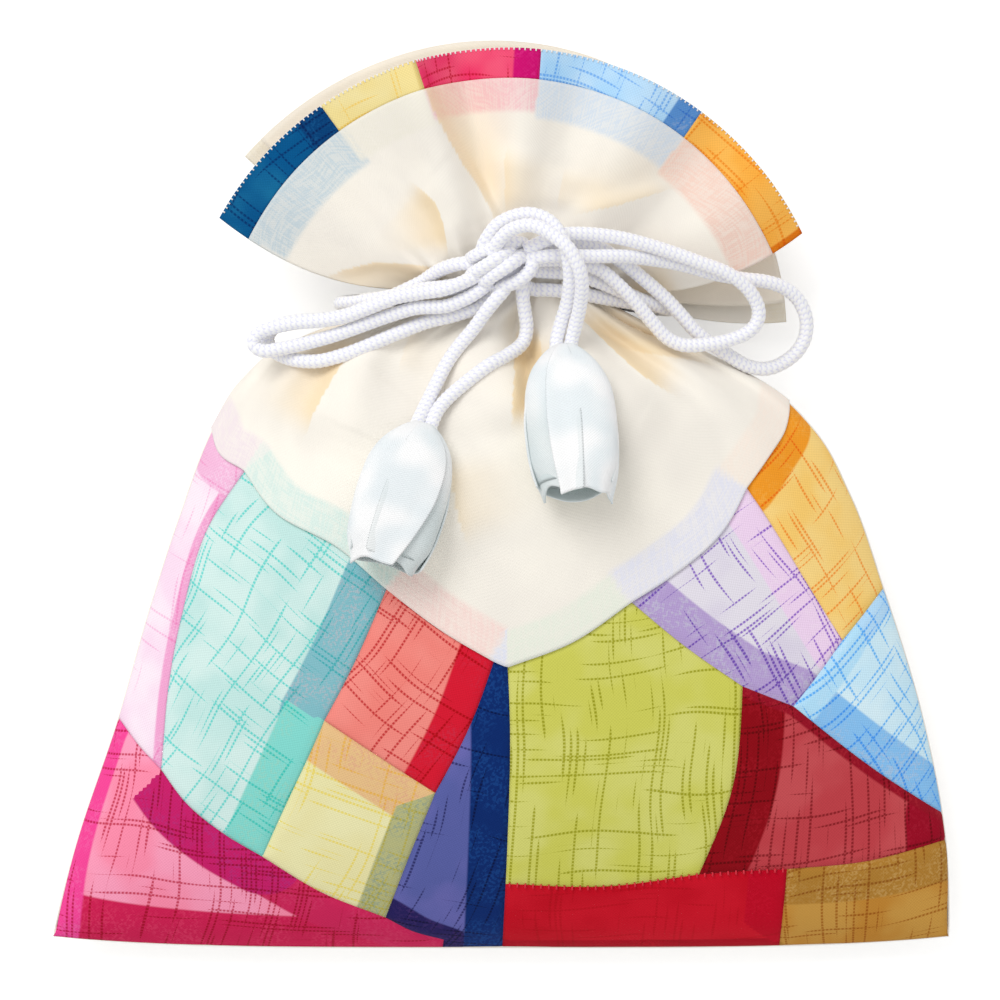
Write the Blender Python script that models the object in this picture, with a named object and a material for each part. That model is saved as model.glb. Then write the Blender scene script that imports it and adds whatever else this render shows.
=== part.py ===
"""Patchwork drawstring pouch of sheer ramie, drawn shut, its cords tied in a bow, lying on its back.

X runs across the pouch, Y from the bottom seam to the mouth, and Z up out of the front panel.
The origin is on the surface it lies on, under the middle of the pouch.
Places on a panel are shares: across runs from -1 at the left side seam to 1 at the right one,
up runs from 0 at the bottom seam to 1 at the tie, out from 0 at the tie to 1 at the frill's edge.
"""
import math

import bmesh
import bpy
import numpy as np
from mathutils import Vector

MM = 0.001

# Cloth, and the room between pieces that touch
CLOTH = 0.6 * MM
LINING_CLOTH = 0.5 * MM
FIT = 0.3 * MM
SEAM_ROOM = 0.2 * MM  # each side of a seam draws in this far

# Cells of the patches, readings along a seam, and how rows crowd towards the tie
CELL = 7.5 * MM
FEWEST_CELLS = 4
SEAM_READINGS = 24
BODY_ROW_POWER = 1.3
FRILL_ROW_POWER = 1.2

# Body of the pouch, in plan
HALF_WIDTH = 77.1 * MM
CORNER_Y = -75.2 * MM
BOTTOM_BOW = 1.9 * MM
TIE_X = 2.8 * MM
TIE_Y = 36.1 * MM
GROOVE_WIDTH = 2.4 * MM
NECK_HALF_WIDTH = 12.8 * MM
LEFT_SIDE = [(0, 1), (0.14, 0.94), (0.34, 0.83), (0.51, 0.75), (0.66, 0.67), (0.8, 0.58),
             (0.87, 0.51), (0.92, 0.41), (0.96, 0.24), (1, 0)]
RIGHT_SIDE = [(0, 1), (0.14, 0.99), (0.35, 0.92), (0.55, 0.81), (0.69, 0.72), (0.79, 0.62),
              (0.85, 0.51), (0.91, 0.32), (0.96, 0.13), (1, 0)]

# Body of the pouch, in height
NECK_HALF_DEPTH = 9.9 * MM
SEAM_HEIGHT = 13 * MM
FRONT_RISE = 21.5 * MM
BACK_DROP = 15.5 * MM
SEAM_SHAPE = [(0, 0.5), (0.15, 0.68), (0.4, 0.9), (0.7, 1), (1, 1)]
FRONT_SHAPE = [(0, 0), (0.03, 0.2), (0.08, 0.4), (0.18, 0.66), (0.32, 0.88), (0.48, 1),
               (0.62, 1), (0.75, 0.93), (0.86, 0.8), (0.94, 0.7), (1, 0.6)]
BACK_SHAPE = [(0, 0), (0.03, 0.22), (0.08, 0.45), (0.18, 0.78), (0.32, 0.95), (0.48, 1),
              (0.75, 0.97), (0.86, 0.88), (0.94, 0.78), (1, 0.7)]
EDGE_POWER = [(0, 0.8), (0.2, 1.1), (0.45, 1.35), (0.8, 1.35), (0.95, 1.1), (1, 1)]
NECK_BLEND = (0.8, 1.0)

# Side vents, where the side seams end below the tie and let the cords out
VENT_HALF_GAP = 3.1 * MM
VENT_START = 0.93
VENT_END = 0.975

# Lining: how far it keeps inside the outer cloth, with room for both cords at the tie
LINING_EDGE_INSET = 6 * MM
FRONT_LINING_RATIO = 0.9
BACK_LINING_RATIO = 0.82
CASING_ROOM = 4.5 * MM
CASING_HALF_LENGTH = 3.8 * MM
LINING_DEPTH = 2.4 * MM
LINING_REACH = 0.94
LINING_BLEND = (0.8, 0.97)
LINING_LIFT = (0.12, 0.4)

# Frill above the tie: a front and a back flap
FRILL_X = 1 * MM
FRILL_Y = 21.3 * MM
FRILL_RADIUS = 56.4 * MM
FRILL_TURN = 1.5
FRILL_HALF_ANGLE = 62.5
FRONT_SAG = 9.5 * MM
FRONT_FLAP_HEIGHT = 24 * MM
FRONT_CORNER_HEIGHT = 16.5 * MM
BACK_RADIUS = [(-1, 1.045), (0, 1.01), (1, 0.87)]
BACK_TURN = 14.5
BACK_HALF_ANGLE = 64.5
BACK_SAG = 5 * MM
BACK_FLAP_HEIGHT = 4.5 * MM
BACK_CORNER_HEIGHT = 7 * MM
BAND_WIDTH = 5.2 * MM
BAND_JOINTS = [-1, -0.575, -0.285, 0.07, 0.555, 1]

# Gathers: height of the cloth's folds at places across, drawn in by the cords
GATHERS = [(-1, 0), (-0.88, 0.6), (-0.76, -0.7), (-0.62, 0.9), (-0.48, -0.8), (-0.34, 0.8),
           (-0.2, -0.9), (-0.04, 1), (0.12, -1), (0.28, 0.9), (0.44, -0.7), (0.58, 0.8),
           (0.72, -0.8), (0.86, 0.7), (1, 0)]
GATHER_AT_TIE = 0.85 * MM
GATHER_BELOW = 1.9 * MM
GATHER_FADE = [(0, 0), (0.55, 0), (0.7, 0.16), (0.82, 0.55), (0.9, 1), (0.95, 0.9), (1, 0.45)]
GATHER_START = 0.55
GATHER_SIDEWAYS = (0.9, 1)
GATHER_TIGHTEN = (0.95, 1)
FRILL_FOLDS = [(-1, 0), (-0.82, 0.5), (-0.6, -0.55), (-0.42, 0.1), (-0.3, 1), (-0.16, -0.9),
               (0.02, 0.5), (0.2, -0.35), (0.4, 0.45), (0.62, -0.6), (0.84, 0.55), (1, 0)]
FRONT_FOLD_HEIGHT = 3.2 * MM
BACK_FOLD_HEIGHT = 1.6 * MM
FOLD_BLEND = (0.05, 0.8)

# Cords: a route is a list of (x, y, z) in millimetres, chosen by hand along the cord
CORD_DIAMETER = 2.5 * MM
CORD_STEP = 5 * MM
CASING_PITCH = 2.8 * MM
CASING_ENTRY_ANGLE = 74
CASING_POINTS = 15
LEFT_LOOP_OUTER = [
    (-7.4, 36.5, 27.4), (-10.4, 36.0, 27.2), (-13.9, 35.7, 26.8), (-18.1, 34.9, 26.2),
    (-22.6, 33.2, 25.4), (-26.8, 31.7, 24.4), (-31, 31, 23.2), (-35.4, 30.7, 21.9),
    (-38.6, 29.9, 20.8), (-40.1, 28, 20.2), (-39.5, 26, 20.4), (-37.2, 24.6, 21.3),
    (-34.4, 23.9, 23.1), (-31, 23.9, 24.4), (-26.8, 25, 25), (-22.6, 26.6, 25.7),
    (-17.8, 28.6, 26), (-12.9, 30.5, 26), (-7.7, 31.8, 26.4), (-3.6, 33.3, 26.6),
    (-1.4, 35.4, 26.9)]
LEFT_LOOP_INNER = [
    (-4.2, 35.6, 28.9), (-6.6, 34.3, 28.8), (-9.8, 33.2, 28.6), (-14.7, 32.9, 28),
    (-19.8, 31.4, 27), (-24.8, 29.6, 26.2), (-29.2, 28.1, 25.2), (-33.7, 26.9, 24.4),
    (-37.8, 26, 24), (-40.8, 25.6, 23.6), (-42.4, 26.6, 23.2), (-42, 28.3, 23.2),
    (-39.6, 29.5, 23.8), (-35.4, 30.4, 24.8), (-31, 30.8, 26.1), (-26.8, 31.5, 27.3),
    (-22.6, 33, 28.3), (-18.1, 34.7, 29.1), (-13.9, 35.5, 29.7), (-10.4, 36, 30.1),
    (-7.4, 37, 30.2)]
RIGHT_LOOP_INNER = [
    (7.8, 44.6, 30.6), (10.6, 45.6, 30.2), (15.7, 45.6, 29), (21.3, 44.8, 27.6), (27.5, 43.1, 26),
    (33.5, 41, 24.6), (38.8, 39, 23), (42.1, 36.6, 21.5), (44, 33.7, 20), (44.2, 31.2, 19.4),
    (42.8, 29.1, 19.4), (39.6, 27.6, 20), (35.6, 26.8, 20.8), (31.5, 26.6, 21.4),
    (28.6, 27.8, 21.9), (26.2, 30.3, 22.8), (23.4, 33.6, 24), (20.1, 37, 25.3),
    (16.8, 39.6, 26.1), (12, 41, 26.9), (7.8, 41.2, 27.6)]
RIGHT_LOOP_OUTER = [
    (7.8, 41.8, 30.7), (11, 41.9, 30.2), (15.7, 41.8, 29.2), (21.3, 41.8, 27.2),
    (27.5, 41.1, 23.7), (31.9, 40.2, 22.1), (37, 38.8, 20.3), (41.6, 38, 18.7),
    (45.2, 37.6, 17.2), (48.5, 36.6, 15.6), (51, 34.6, 14.2), (52.4, 31.6, 13.2),
    (52.4, 28.4, 12.6), (51, 25.6, 12.6), (48.5, 23.6, 13), (45.7, 22.6, 14), (42.5, 23, 15.2),
    (39.6, 24.6, 16.4), (36.8, 26.4, 17.2), (33.5, 29, 18.2), (30.7, 32.1, 19.2), (27.9, 35, 20.4),
    (24.2, 38.2, 22.2), (20.6, 41, 24), (17.4, 43, 25.4), (14.3, 44, 26.4), (10.8, 44.2, 27.2),
    (7.9, 44, 27.6)]
LEFT_TAIL_NEAR = [
    (0.6, 36.2, 29.4), (-0.9, 34.4, 29.8), (-2.6, 32.3, 29.4), (-4.8, 29.3, 28.4),
    (-7.4, 26.2, 28.2), (-9.5, 23.1, 28.8), (-12, 18.1, 30.9), (-14.7, 13.3, 33.6)]
LEFT_TAIL_FAR = [
    (3.7, 35.6, 28), (3.8, 34.2, 27.3), (4.1, 32.2, 26.6), (4.4, 29.4, 26), (3.6, 26.8, 26.4),
    (0.8, 24.7, 28.9), (-2.6, 22.8, 31), (-7.9, 18.6, 31.7), (-10.5, 15.9, 32.4),
    (-11.6, 13.3, 33.6)]
RIGHT_TAIL_LOW = [
    (-2.6, 44.6, 30.4), (-0.4, 47.4, 31.4), (3, 48.9, 32), (6, 48.9, 32.6), (8.8, 47.4, 33.2),
    (10.6, 44.5, 33.8), (11.6, 41, 33.6), (11.8, 37.3, 32), (11.3, 33.7, 30), (10.3, 30.4, 28.8),
    (9.4, 27.1, 28.8)]
RIGHT_TAIL_HIGH = [
    (-0.4, 44.4, 32.6), (1.3, 46.1, 33.6), (3.6, 47, 34.6), (6, 46.9, 35.4), (8.6, 45.6, 36),
    (11.5, 43.2, 36.6), (13.3, 40, 36.2), (13.9, 37, 34.6), (13.6, 33.7, 32), (12.9, 30.4, 30),
    (12.2, 27.1, 29.3)]
LEFT_NECK_FRONT = [
    (-6.9, 40.6, 26.2), (-9.6, 39.9, 24.2), (-11.5, 38.9, 22.2), (-13.4, 37.6, 20.6),
    (-15.8, 36.4, 20.6), (-19, 35, 20.2), (-22.4, 34.5, 18.8), (-23.8, 34.3, 16.8),
    (-22.4, 34.4, 14.9), (-20, 34.5, 14.3), (-16.5, 34.6, 14.4), (-12, 34.7, 14.5)]
LEFT_NECK_BACK = [
    (-12, 34.7, 11.5), (-17, 34.6, 11.5), (-21, 34.5, 11.6), (-25, 34.2, 12.4),
    (-27.4, 33.9, 14.8), (-27.2, 33.8, 17.8), (-24.8, 34, 20.4), (-21, 34.6, 22.7),
    (-17, 35.4, 23.5), (-13.4, 36.2, 23.5), (-9.8, 36.6, 24.1), (-6.6, 37.2, 24.8)]
RIGHT_NECK_FRONT = [
    (5, 36.3, 25.2), (7.6, 36.1, 24.7), (10.4, 35.9, 23.9), (13.2, 35.6, 22.9), (16, 35, 21.8),
    (19.5, 34.4, 20.2), (22.6, 33.9, 18.6), (24.4, 33.7, 16.6), (23, 34, 14.7),
    (19.5, 35.6, 14.4), (16.6, 37.2, 14.5)]
RIGHT_NECK_BACK = [
    (15, 36.9, 11.4), (17.5, 35.1, 11.45), (20.8, 33.9, 11.4), (24.8, 33.2, 11.8), (27.5, 32.9, 13),
    (28.8, 32.8, 15.4), (27.4, 33.2, 17.8), (24, 34.4, 20.4), (20.4, 36, 22.4), (16.4, 37.6, 23.2),
    (13, 38.7, 24), (9.8, 39.1, 24.7), (7.4, 39.2, 25.2)]

# Knot of the bow, built round its core by the cord's two visible wraps
KNOT_CORE = (0.4, 40.3, 28.6)
KNOT_RADII = (4.6, 3.1, 4)
KNOT_WRAP_DIAGONAL = [(-4.3, 38.2, 26.4), (-3.6, 39, 30.4), (-1.2, 40.6, 32.4), (1.2, 42.2, 30.8),
                      (2, 42.9, 26.8)]
KNOT_WRAP_ROUND = [(3.4, 37.6, 26.8), (4, 38.6, 30.4), (4.5, 40.6, 31.8), (4.7, 42.4, 30.2),
                   (4.6, 43.4, 26.8)]
KNOT_WRAP_DIAMETER = 3.3 * MM
KNOT_WRAP_SIDES = 12

# Cloth buds on the cords' ends: a tulip that opens into petals
BUD_WIDTH = 15 * MM
BUD_THICKNESS = 9.4 * MM
BUD_MOUTH_DEPTH = 4 * MM
BUD_PETALS = 4
BUD_PETAL_RELIEF = 0.07
BUD_PETAL_REACH = 1.6 * MM
BUD_PROFILE = [(0, 0.36), (0.06, 0.43), (0.16, 0.62), (0.3, 0.83), (0.48, 0.98), (0.62, 1),
               (0.8, 0.93), (1, 0.76)]
BUD_SEGMENTS = 20
BUD_TIP_POWER = 6
BUD_MOUTH_SHARE = 0.55
LEFT_BUD = ((-13.2, 12.4, 34.4), (-20, -11, 40.4))
RIGHT_BUD = ((10.8, 25.8, 29.8), (12.9, 0.8, 42))

# Rows and columns of the cloth meshes
YOKE_COLUMNS = 32
BACK_COLUMNS = 28
LINING_COLUMNS = 20
YOKE_ROWS = 9
BACK_ROWS = 13
LINING_ROWS = 10
FRILL_ROWS = 6

# Corners of the patches, as (across, up)
CORNERS = {
    "yoke_left": (-1, 0.8), "A": (-0.845, 0.735), "B": (-0.365, 0.556), "C": (-0.068, 0.446),
    "tip": (-0.035, 0.438), "D": (0.298, 0.535), "E": (0.695, 0.71), "yoke_right": (1, 0.84),
    "G": (-1, 0.342), "H": (-0.86, 0.268), "I": (-0.571, 0.14), "J": (-0.49, 0.35),
    "K": (-0.194, 0.24), "L": (-0.268, 0.048), "M": (-0.13, 0.012), "M_low": (-0.13, 0),
    "N": (0.003, 0),
    "O": (-0.006, 0.1), "Q": (0.565, 0.402), "R": (0.433, 0.114), "S": (0.685, 0.37),
    "U": (0.849, 0.468), "V": (1, 0.545), "W": (1, 0.194), "X": (1, 0.152), "Y": (0.634, 0.12),
    "Z": (0.622, 0), "left_corner": (-1, 0), "right_corner": (1, 0),
}

# Points that a seam passes on its way between two corners
SEAM_BENDS = {
    ("yoke_left", "A"): [(-0.95, 0.765)],
    ("A", "B"): [(-0.74, 0.68), (-0.505, 0.615)],
    ("B", "C"): [(-0.2, 0.49)],
    ("tip", "D"): [(0.14, 0.477)],
    ("D", "E"): [(0.42, 0.575), (0.58, 0.64)],
    ("E", "yoke_right"): [(0.81, 0.762), (0.91, 0.8)],
    ("A", "H"): [(-0.905, 0.65), (-0.91, 0.5), (-0.895, 0.38)],
    ("B", "J"): [(-0.425, 0.45)],
    ("J", "I"): [(-0.535, 0.24)],
    ("G", "H"): [(-0.93, 0.302)],
    ("H", "I"): [(-0.78, 0.22), (-0.68, 0.177)],
    ("I", "L"): [(-0.42, 0.086)],
    ("L", "M"): [(-0.2, 0.026)],
    ("C", "K"): [(-0.125, 0.345)],
    ("K", "L"): [(-0.235, 0.14)],
    ("D", "Q"): [(0.44, 0.46)],
    ("Q", "R"): [(0.515, 0.25)],
    ("S", "W"): [(0.855, 0.27)],
    ("E", "U"): [(0.775, 0.59)],
    ("O", "R"): [(0.22, 0.096)],
    ("R", "Y"): [(0.53, 0.118)],
    ("Y", "X"): [(0.82, 0.128)],
}

# Each patch by its four sides, each a run of corners, anticlockwise from the front
PATCHES = {
    "patch_pink": (["G", "H"], ["H", "A"], ["A", "yoke_left"], ["yoke_left", "G"]),
    "patch_mint": (["H", "I"], ["I", "J", "B"], ["B", "A"], ["A", "H"]),
    "patch_red": (["J", "K"], ["K", "C"], ["C", "B"], ["B", "J"]),
    "patch_yellow": (["I", "L"], ["L", "K"], ["K", "J"], ["J", "I"]),
    "patch_navy": (["M_low", "N"], ["N", "O", "tip"], ["tip", "C"], ["C", "K", "L", "M", "M_low"]),
    "patch_magenta": (["left_corner", "M_low"], ["M_low", "M"], ["M", "L", "I", "H", "G"],
                      ["G", "left_corner"]),
    "patch_lime": (["O", "R"], ["R", "Q", "D"], ["D", "tip"], ["tip", "O"]),
    "patch_lavender": (["Q", "S"], ["S", "U"], ["U", "E"], ["E", "D", "Q"]),
    "patch_orange": (["U", "V"], ["V", "yoke_right"], ["yoke_right", "E"], ["E", "U"]),
    "patch_sky": (["S", "W"], ["W", "V"], ["V", "U"], ["U", "S"]),
    "patch_maroon": (["R", "Y", "X"], ["X", "W"], ["W", "S", "Q"], ["Q", "R"]),
    "patch_crimson": (["N", "Z"], ["Z", "Y"], ["Y", "R", "O"], ["O", "N"]),
    "patch_mustard": (["Z", "right_corner"], ["right_corner", "X"], ["X", "Y"], ["Y", "Z"]),
}
YOKE_EDGE = ["yoke_left", "A", "B", "C", "tip", "D", "E", "yoke_right"]

# Colours, and the roughness of the cloth and the cord
CREAM = (0.93, 0.88, 0.76)
LINING_CREAM = (0.95, 0.92, 0.84)
CORD_WHITE = (0.92, 0.92, 0.95)
PATCH_COLOURS = {
    "patch_pink": (0.93, 0.56, 0.75), "patch_mint": (0.5, 0.83, 0.74),
    "patch_red": (0.85, 0.14, 0.13), "patch_yellow": (0.88, 0.75, 0.33),
    "patch_navy": (0.05, 0.1, 0.38), "patch_magenta": (0.72, 0.03, 0.19),
    "patch_lime": (0.58, 0.64, 0.12), "patch_lavender": (0.65, 0.52, 0.78),
    "patch_orange": (0.95, 0.47, 0.08), "patch_sky": (0.33, 0.65, 0.95),
    "patch_maroon": (0.38, 0.02, 0.04), "patch_crimson": (0.65, 0.01, 0.02),
    "patch_mustard": (0.45, 0.25, 0.04),
}
BAND_COLOURS = [("band_blue", (0.01, 0.1, 0.3)), ("band_yellow", (0.87, 0.72, 0.35)),
                ("band_magenta", (0.68, 0.02, 0.14)), ("band_sky", (0.28, 0.58, 0.93)),
                ("band_orange", (0.95, 0.3, 0.02))]
CLOTH_ROUGHNESS = 0.75
CORD_ROUGHNESS = 0.6


def smooth(stations, at):
    """Read a smooth curve through (place, value) pairs, straight on past its ends."""
    places, values = np.array(stations, float).T
    slopes = np.gradient(values, places)
    i = int(np.clip(np.searchsorted(places, at) - 1, 0, len(places) - 2))
    step = places[i + 1] - places[i]
    f = min(max((at - places[i]) / step, 0.0), 1.0)
    start = (2 * f ** 3 - 3 * f ** 2 + 1) * values[i] + (f ** 3 - 2 * f ** 2 + f) * step * slopes[i]
    end = (3 * f ** 2 - 2 * f ** 3) * values[i + 1] + (f ** 3 - f ** 2) * step * slopes[i + 1]
    return float(start + end)


def ease(low, high, at):
    """Run from 0 at low to 1 at high, level at both ends."""
    f = min(max((at - low) / (high - low), 0.0), 1.0)
    return f * f * (3 - 2 * f)


def mix(first, second, share):
    return first + (second - first) * share


def material(name, colour, roughness):
    """Make a plain material of one colour."""
    finish = bpy.data.materials.new(name)
    finish.use_nodes = True
    shader = finish.node_tree.nodes["Principled BSDF"]
    shader.inputs["Base Color"].default_value = (*colour, 1)
    shader.inputs["Roughness"].default_value = roughness
    shader.inputs["Metallic"].default_value = 0
    finish.diffuse_color = (*colour, 1)
    return finish


def body_reach(up):
    """Give the left and the right end of the body at a share of its length."""
    left_share = smooth(LEFT_SIDE, up)
    right_share = smooth(RIGHT_SIDE, up)
    left = mix(TIE_X - NECK_HALF_WIDTH, -HALF_WIDTH, left_share)
    right = mix(TIE_X + NECK_HALF_WIDTH, HALF_WIDTH, right_share)
    return left, right


def vent(up):
    return mix(FIT / 2, VENT_HALF_GAP, ease(VENT_START, VENT_END, up))


def body_rise(face, up):
    """Give the panel's height over (or depth under) the side seam along the middle."""
    if face > 0:
        swell = FRONT_RISE * smooth(FRONT_SHAPE, up)
    else:
        swell = BACK_DROP * smooth(BACK_SHAPE, up)
    return mix(swell, NECK_HALF_DEPTH, ease(*NECK_BLEND, up))


def body_point(face, across, up, lined=False):
    """Place a point of the body's inner face: the outer cloth, or the lining inside it.

    The section is x = centre + half sin(a), z = seam + rise cos(a)^power, a = across * 90 degrees.
    """
    if lined:
        across *= mix(1, LINING_REACH, ease(*LINING_BLEND, up))
    angle = across * math.pi / 2
    left, right = body_reach(up)
    centre = (left + right) / 2
    half = (right - left) / 2
    rise = body_rise(face, up)
    bottom = CORNER_Y - BOTTOM_BOW * (1 - math.sin(angle) ** 4)
    top = TIE_Y - GROOVE_WIDTH / 2
    if lined:
        near_tie = ease(*LINING_BLEND, up)
        half -= mix(LINING_EDGE_INSET, CASING_ROOM, near_tie)
        ratio = FRONT_LINING_RATIO if face > 0 else BACK_LINING_RATIO
        rise *= mix(ratio, 1 - CASING_ROOM / NECK_HALF_DEPTH, near_tie)
        bottom += LINING_EDGE_INSET
        top = TIE_Y - CASING_HALF_LENGTH
    swell = max(math.cos(angle), 0.0) ** smooth(EDGE_POWER, up)
    gap = FIT / 2 if lined else vent(up)
    x = centre + half * math.sin(angle)
    z = SEAM_HEIGHT * smooth(SEAM_SHAPE, up) + face * (gap + max(rise - gap, 0.0) * swell)
    if not lined:
        tall = mix(GATHER_BELOW, GATHER_AT_TIE, ease(*GATHER_TIGHTEN, up))
        fold = tall * smooth(GATHERS, across * face) * smooth(GATHER_FADE, up)
        if up > GATHER_START:
            x += fold * math.sin(angle) * ease(*GATHER_SIDEWAYS, up)
            z += face * fold * math.cos(angle)
    y = mix(bottom, top, up)
    return rest_on_floor(face, Vector((x, y, z)), lined)


def rest_on_floor(face, point, lined):
    """Keep the back's cloth on the surface the pouch lies on, with the lining over it."""
    if face < 0:
        floor = CLOTH + (FIT + LINING_CLOTH) * 1.5 * lined
        point.z = max(point.z, floor)
    return point


def frill_point(face, across, out, lined=False):
    """Place a point of a flap: each rib is a curve from the tie, by a sagging middle, to the edge."""
    neck = body_point(face, across, 1)
    neck.y = TIE_Y + GROOVE_WIDTH / 2
    if face > 0:
        angle = math.radians(FRILL_TURN + across * FRILL_HALF_ANGLE)
        radius = FRILL_RADIUS
        sag = FRONT_SAG
        edge_height = mix(FRONT_FLAP_HEIGHT, FRONT_CORNER_HEIGHT, across ** 2)
        fold = FRONT_FOLD_HEIGHT * smooth(FRILL_FOLDS, across)
    else:
        angle = math.radians(BACK_TURN + across * BACK_HALF_ANGLE)
        radius = FRILL_RADIUS * smooth(BACK_RADIUS, across)
        sag = BACK_SAG
        edge_height = mix(BACK_FLAP_HEIGHT, BACK_CORNER_HEIGHT, across ** 2)
        fold = BACK_FOLD_HEIGHT * smooth(FRILL_FOLDS, -across)
    edge = Vector((FRILL_X + radius * math.sin(angle), FRILL_Y + radius * math.cos(angle), edge_height))
    middle = (neck + edge) / 2
    middle.y -= sag * across ** 4
    point = neck * (1 - out) ** 2 + middle * 2 * out * (1 - out) + edge * out ** 2
    point.z = mix(neck.z, edge_height, ease(0, 1, out)) + fold * ease(*FOLD_BLEND, out)
    if lined:
        inner = body_point(face, across / LINING_REACH, 1, lined=True)
        inner.y = TIE_Y + CASING_HALF_LENGTH
        at_tie = inner - neck
        point += at_tie.lerp(Vector((0, 0, -face * LINING_DEPTH)), ease(*LINING_LIFT, out))
    return rest_on_floor(face, point, lined)


def seam_run(corners):
    """Read the seam through a run of corners as a list of smooth stretches between them."""
    stretches = []
    for start, end in zip(corners, corners[1:]):
        bends = SEAM_BENDS.get((start, end)) or SEAM_BENDS.get((end, start), [])[::-1]
        stretches.append([CORNERS[start], *bends, CORNERS[end]])
    return stretches


def read_stretch(stretch, share):
    """Read one stretch of seam at a share of its length, as an angle share and an up share."""
    legs = [0.0]
    for first, second in zip(stretch, stretch[1:]):
        legs.append(legs[-1] + math.dist(first, second))
    places = [leg / legs[-1] for leg in legs]
    across = smooth(list(zip(places, [point[0] for point in stretch])), share)
    up = smooth(list(zip(places, [point[1] for point in stretch])), share)
    return math.asin(min(max(across, -1.0), 1.0)) / (math.pi / 2), max(up, 0.0)


def stretch_legs(stretch):
    """Measure one stretch of seam along the front panel, as the distance run at even shares."""
    points = [body_point(1, *read_stretch(stretch, i / SEAM_READINGS)) for i in range(SEAM_READINGS + 1)]
    legs = [0.0]
    for start, end in zip(points, points[1:]):
        legs.append(legs[-1] + (end - start).length)
    return legs


def even_places(stretch, number):
    """Read a stretch at places that lie evenly along the cloth."""
    legs = stretch_legs(stretch)
    targets = [legs[-1] * i / number for i in range(number + 1)]
    shares = np.interp(targets, legs, np.linspace(0, 1, SEAM_READINGS + 1))
    return [read_stretch(stretch, float(share)) for share in shares]


def side_points(corners, count):
    """Share count cells out over a side's stretches and read their places."""
    stretches = seam_run(corners)
    lengths = [stretch_legs(stretch)[-1] for stretch in stretches]
    cells = [max(1, round(count * length / sum(lengths))) for length in lengths]
    while sum(cells) != count:
        longest = cells.index(max(cells))
        cells[longest] += 1 if sum(cells) < count else -1
    places = []
    for stretch, number in zip(stretches, cells):
        places += even_places(stretch, number)[:-1]
    places.append(read_stretch(stretches[-1], 1))
    return places


def cells_along(first, second):
    longest = max(sum(stretch_legs(stretch)[-1] for stretch in seam_run(side))
                  for side in (first, second))
    return max(FEWEST_CELLS, round(longest / CELL))


def patch_grid(sides):
    """Fill a patch between its four sides (a Coons patch) and place it on the front panel."""
    bottom, right, top, left = sides
    columns = cells_along(bottom, top)
    rows = cells_along(right, left)
    low = np.array(side_points(bottom, columns))
    high = np.array(side_points(top, columns))[::-1]
    far = np.array(side_points(right, rows))
    near = np.array(side_points(left, rows))[::-1]
    grid = []
    for j in range(rows + 1):
        v = j / rows
        row = []
        for i in range(columns + 1):
            u = i / columns
            ruled = mix(low[i], high[i], v) + mix(near[j], far[j], u)
            corners = mix(mix(low[0], low[-1], u), mix(high[0], high[-1], u), v)
            across, up = ruled - corners
            row.append(body_point(1, float(across), float(up)))
        grid.append(row)
    return grid


def draw_in(grid, room, edges):
    """Move a grid's chosen edges inward along the cloth, so that it clears its neighbours."""
    rows = len(grid)
    columns = len(grid[0])
    moved = [[point.copy() for point in row] for row in grid]
    for j in range(rows):
        for i in range(columns):
            if "low" in edges and j == 0:
                moved[j][i] += (grid[1][i] - grid[0][i]).normalized() * room
            if "high" in edges and j == rows - 1:
                moved[j][i] += (grid[-2][i] - grid[-1][i]).normalized() * room
            if "near" in edges and i == 0:
                moved[j][i] += (grid[j][1] - grid[j][0]).normalized() * room
            if "far" in edges and i == columns - 1:
                moved[j][i] += (grid[j][-2] - grid[j][-1]).normalized() * room
    return moved


def cloth(name, grid, face, thickness, finish):
    """Make a sheet on a grid of points and thicken it outward, away from the pouch's inside."""
    mesh = bpy.data.meshes.new(name)
    shape = bmesh.new()
    rows = [[shape.verts.new(point) for point in row] for row in grid]
    for low, high in zip(rows, rows[1:]):
        for i in range(len(low) - 1):
            loop = (low[i], low[i + 1], high[i + 1], high[i])
            shape.faces.new(loop if face > 0 else loop[::-1])
    for sheet_face in shape.faces:
        sheet_face.smooth = True
    shape.to_mesh(mesh)
    shape.free()
    sheet = bpy.data.objects.new(name, mesh)
    bpy.context.collection.objects.link(sheet)
    layer = sheet.modifiers.new("Cloth", "SOLIDIFY")
    layer.thickness = thickness
    layer.offset = 1
    sheet.data.materials.append(finish)
    return sheet


def across_places(columns):
    return [-1 + 2 * i / columns for i in range(columns + 1)]


def yoke_places():
    """Spread the yoke's columns evenly, with the nearest one moved onto each corner of its edge."""
    places = across_places(YOKE_COLUMNS)
    stops = [CORNERS[name] for name in YOKE_EDGE[1:-1]]
    stops += [SEAM_BENDS["yoke_left", "A"][0], SEAM_BENDS["E", "yoke_right"][1]]
    for stop in stops:
        corner = math.asin(stop[0]) / (math.pi / 2)
        nearest = min(range(1, len(places) - 1), key=lambda i: abs(places[i] - corner))
        places[nearest] = corner
    return places


def yoke_edge_up(across):
    """Find how far up the yoke's lower edge lies at a place across."""
    places = []
    for stretch in seam_run(YOKE_EDGE):
        places += even_places(stretch, SEAM_READINGS)
    x, y = zip(*places)
    return float(np.interp(across, x, y))


def band_start(across):
    """Give the share of a rib at which the coloured band begins."""
    rib = (frill_point(1, across, 1) - frill_point(1, across, 0)).length
    return 1 - BAND_WIDTH / rib


def make_patches():
    for name, sides in PATCHES.items():
        grid = draw_in(patch_grid(sides), SEAM_ROOM, ("low", "high", "near", "far"))
        cloth(name, grid, 1, CLOTH, material(name, PATCH_COLOURS[name], CLOTH_ROUGHNESS))


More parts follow.
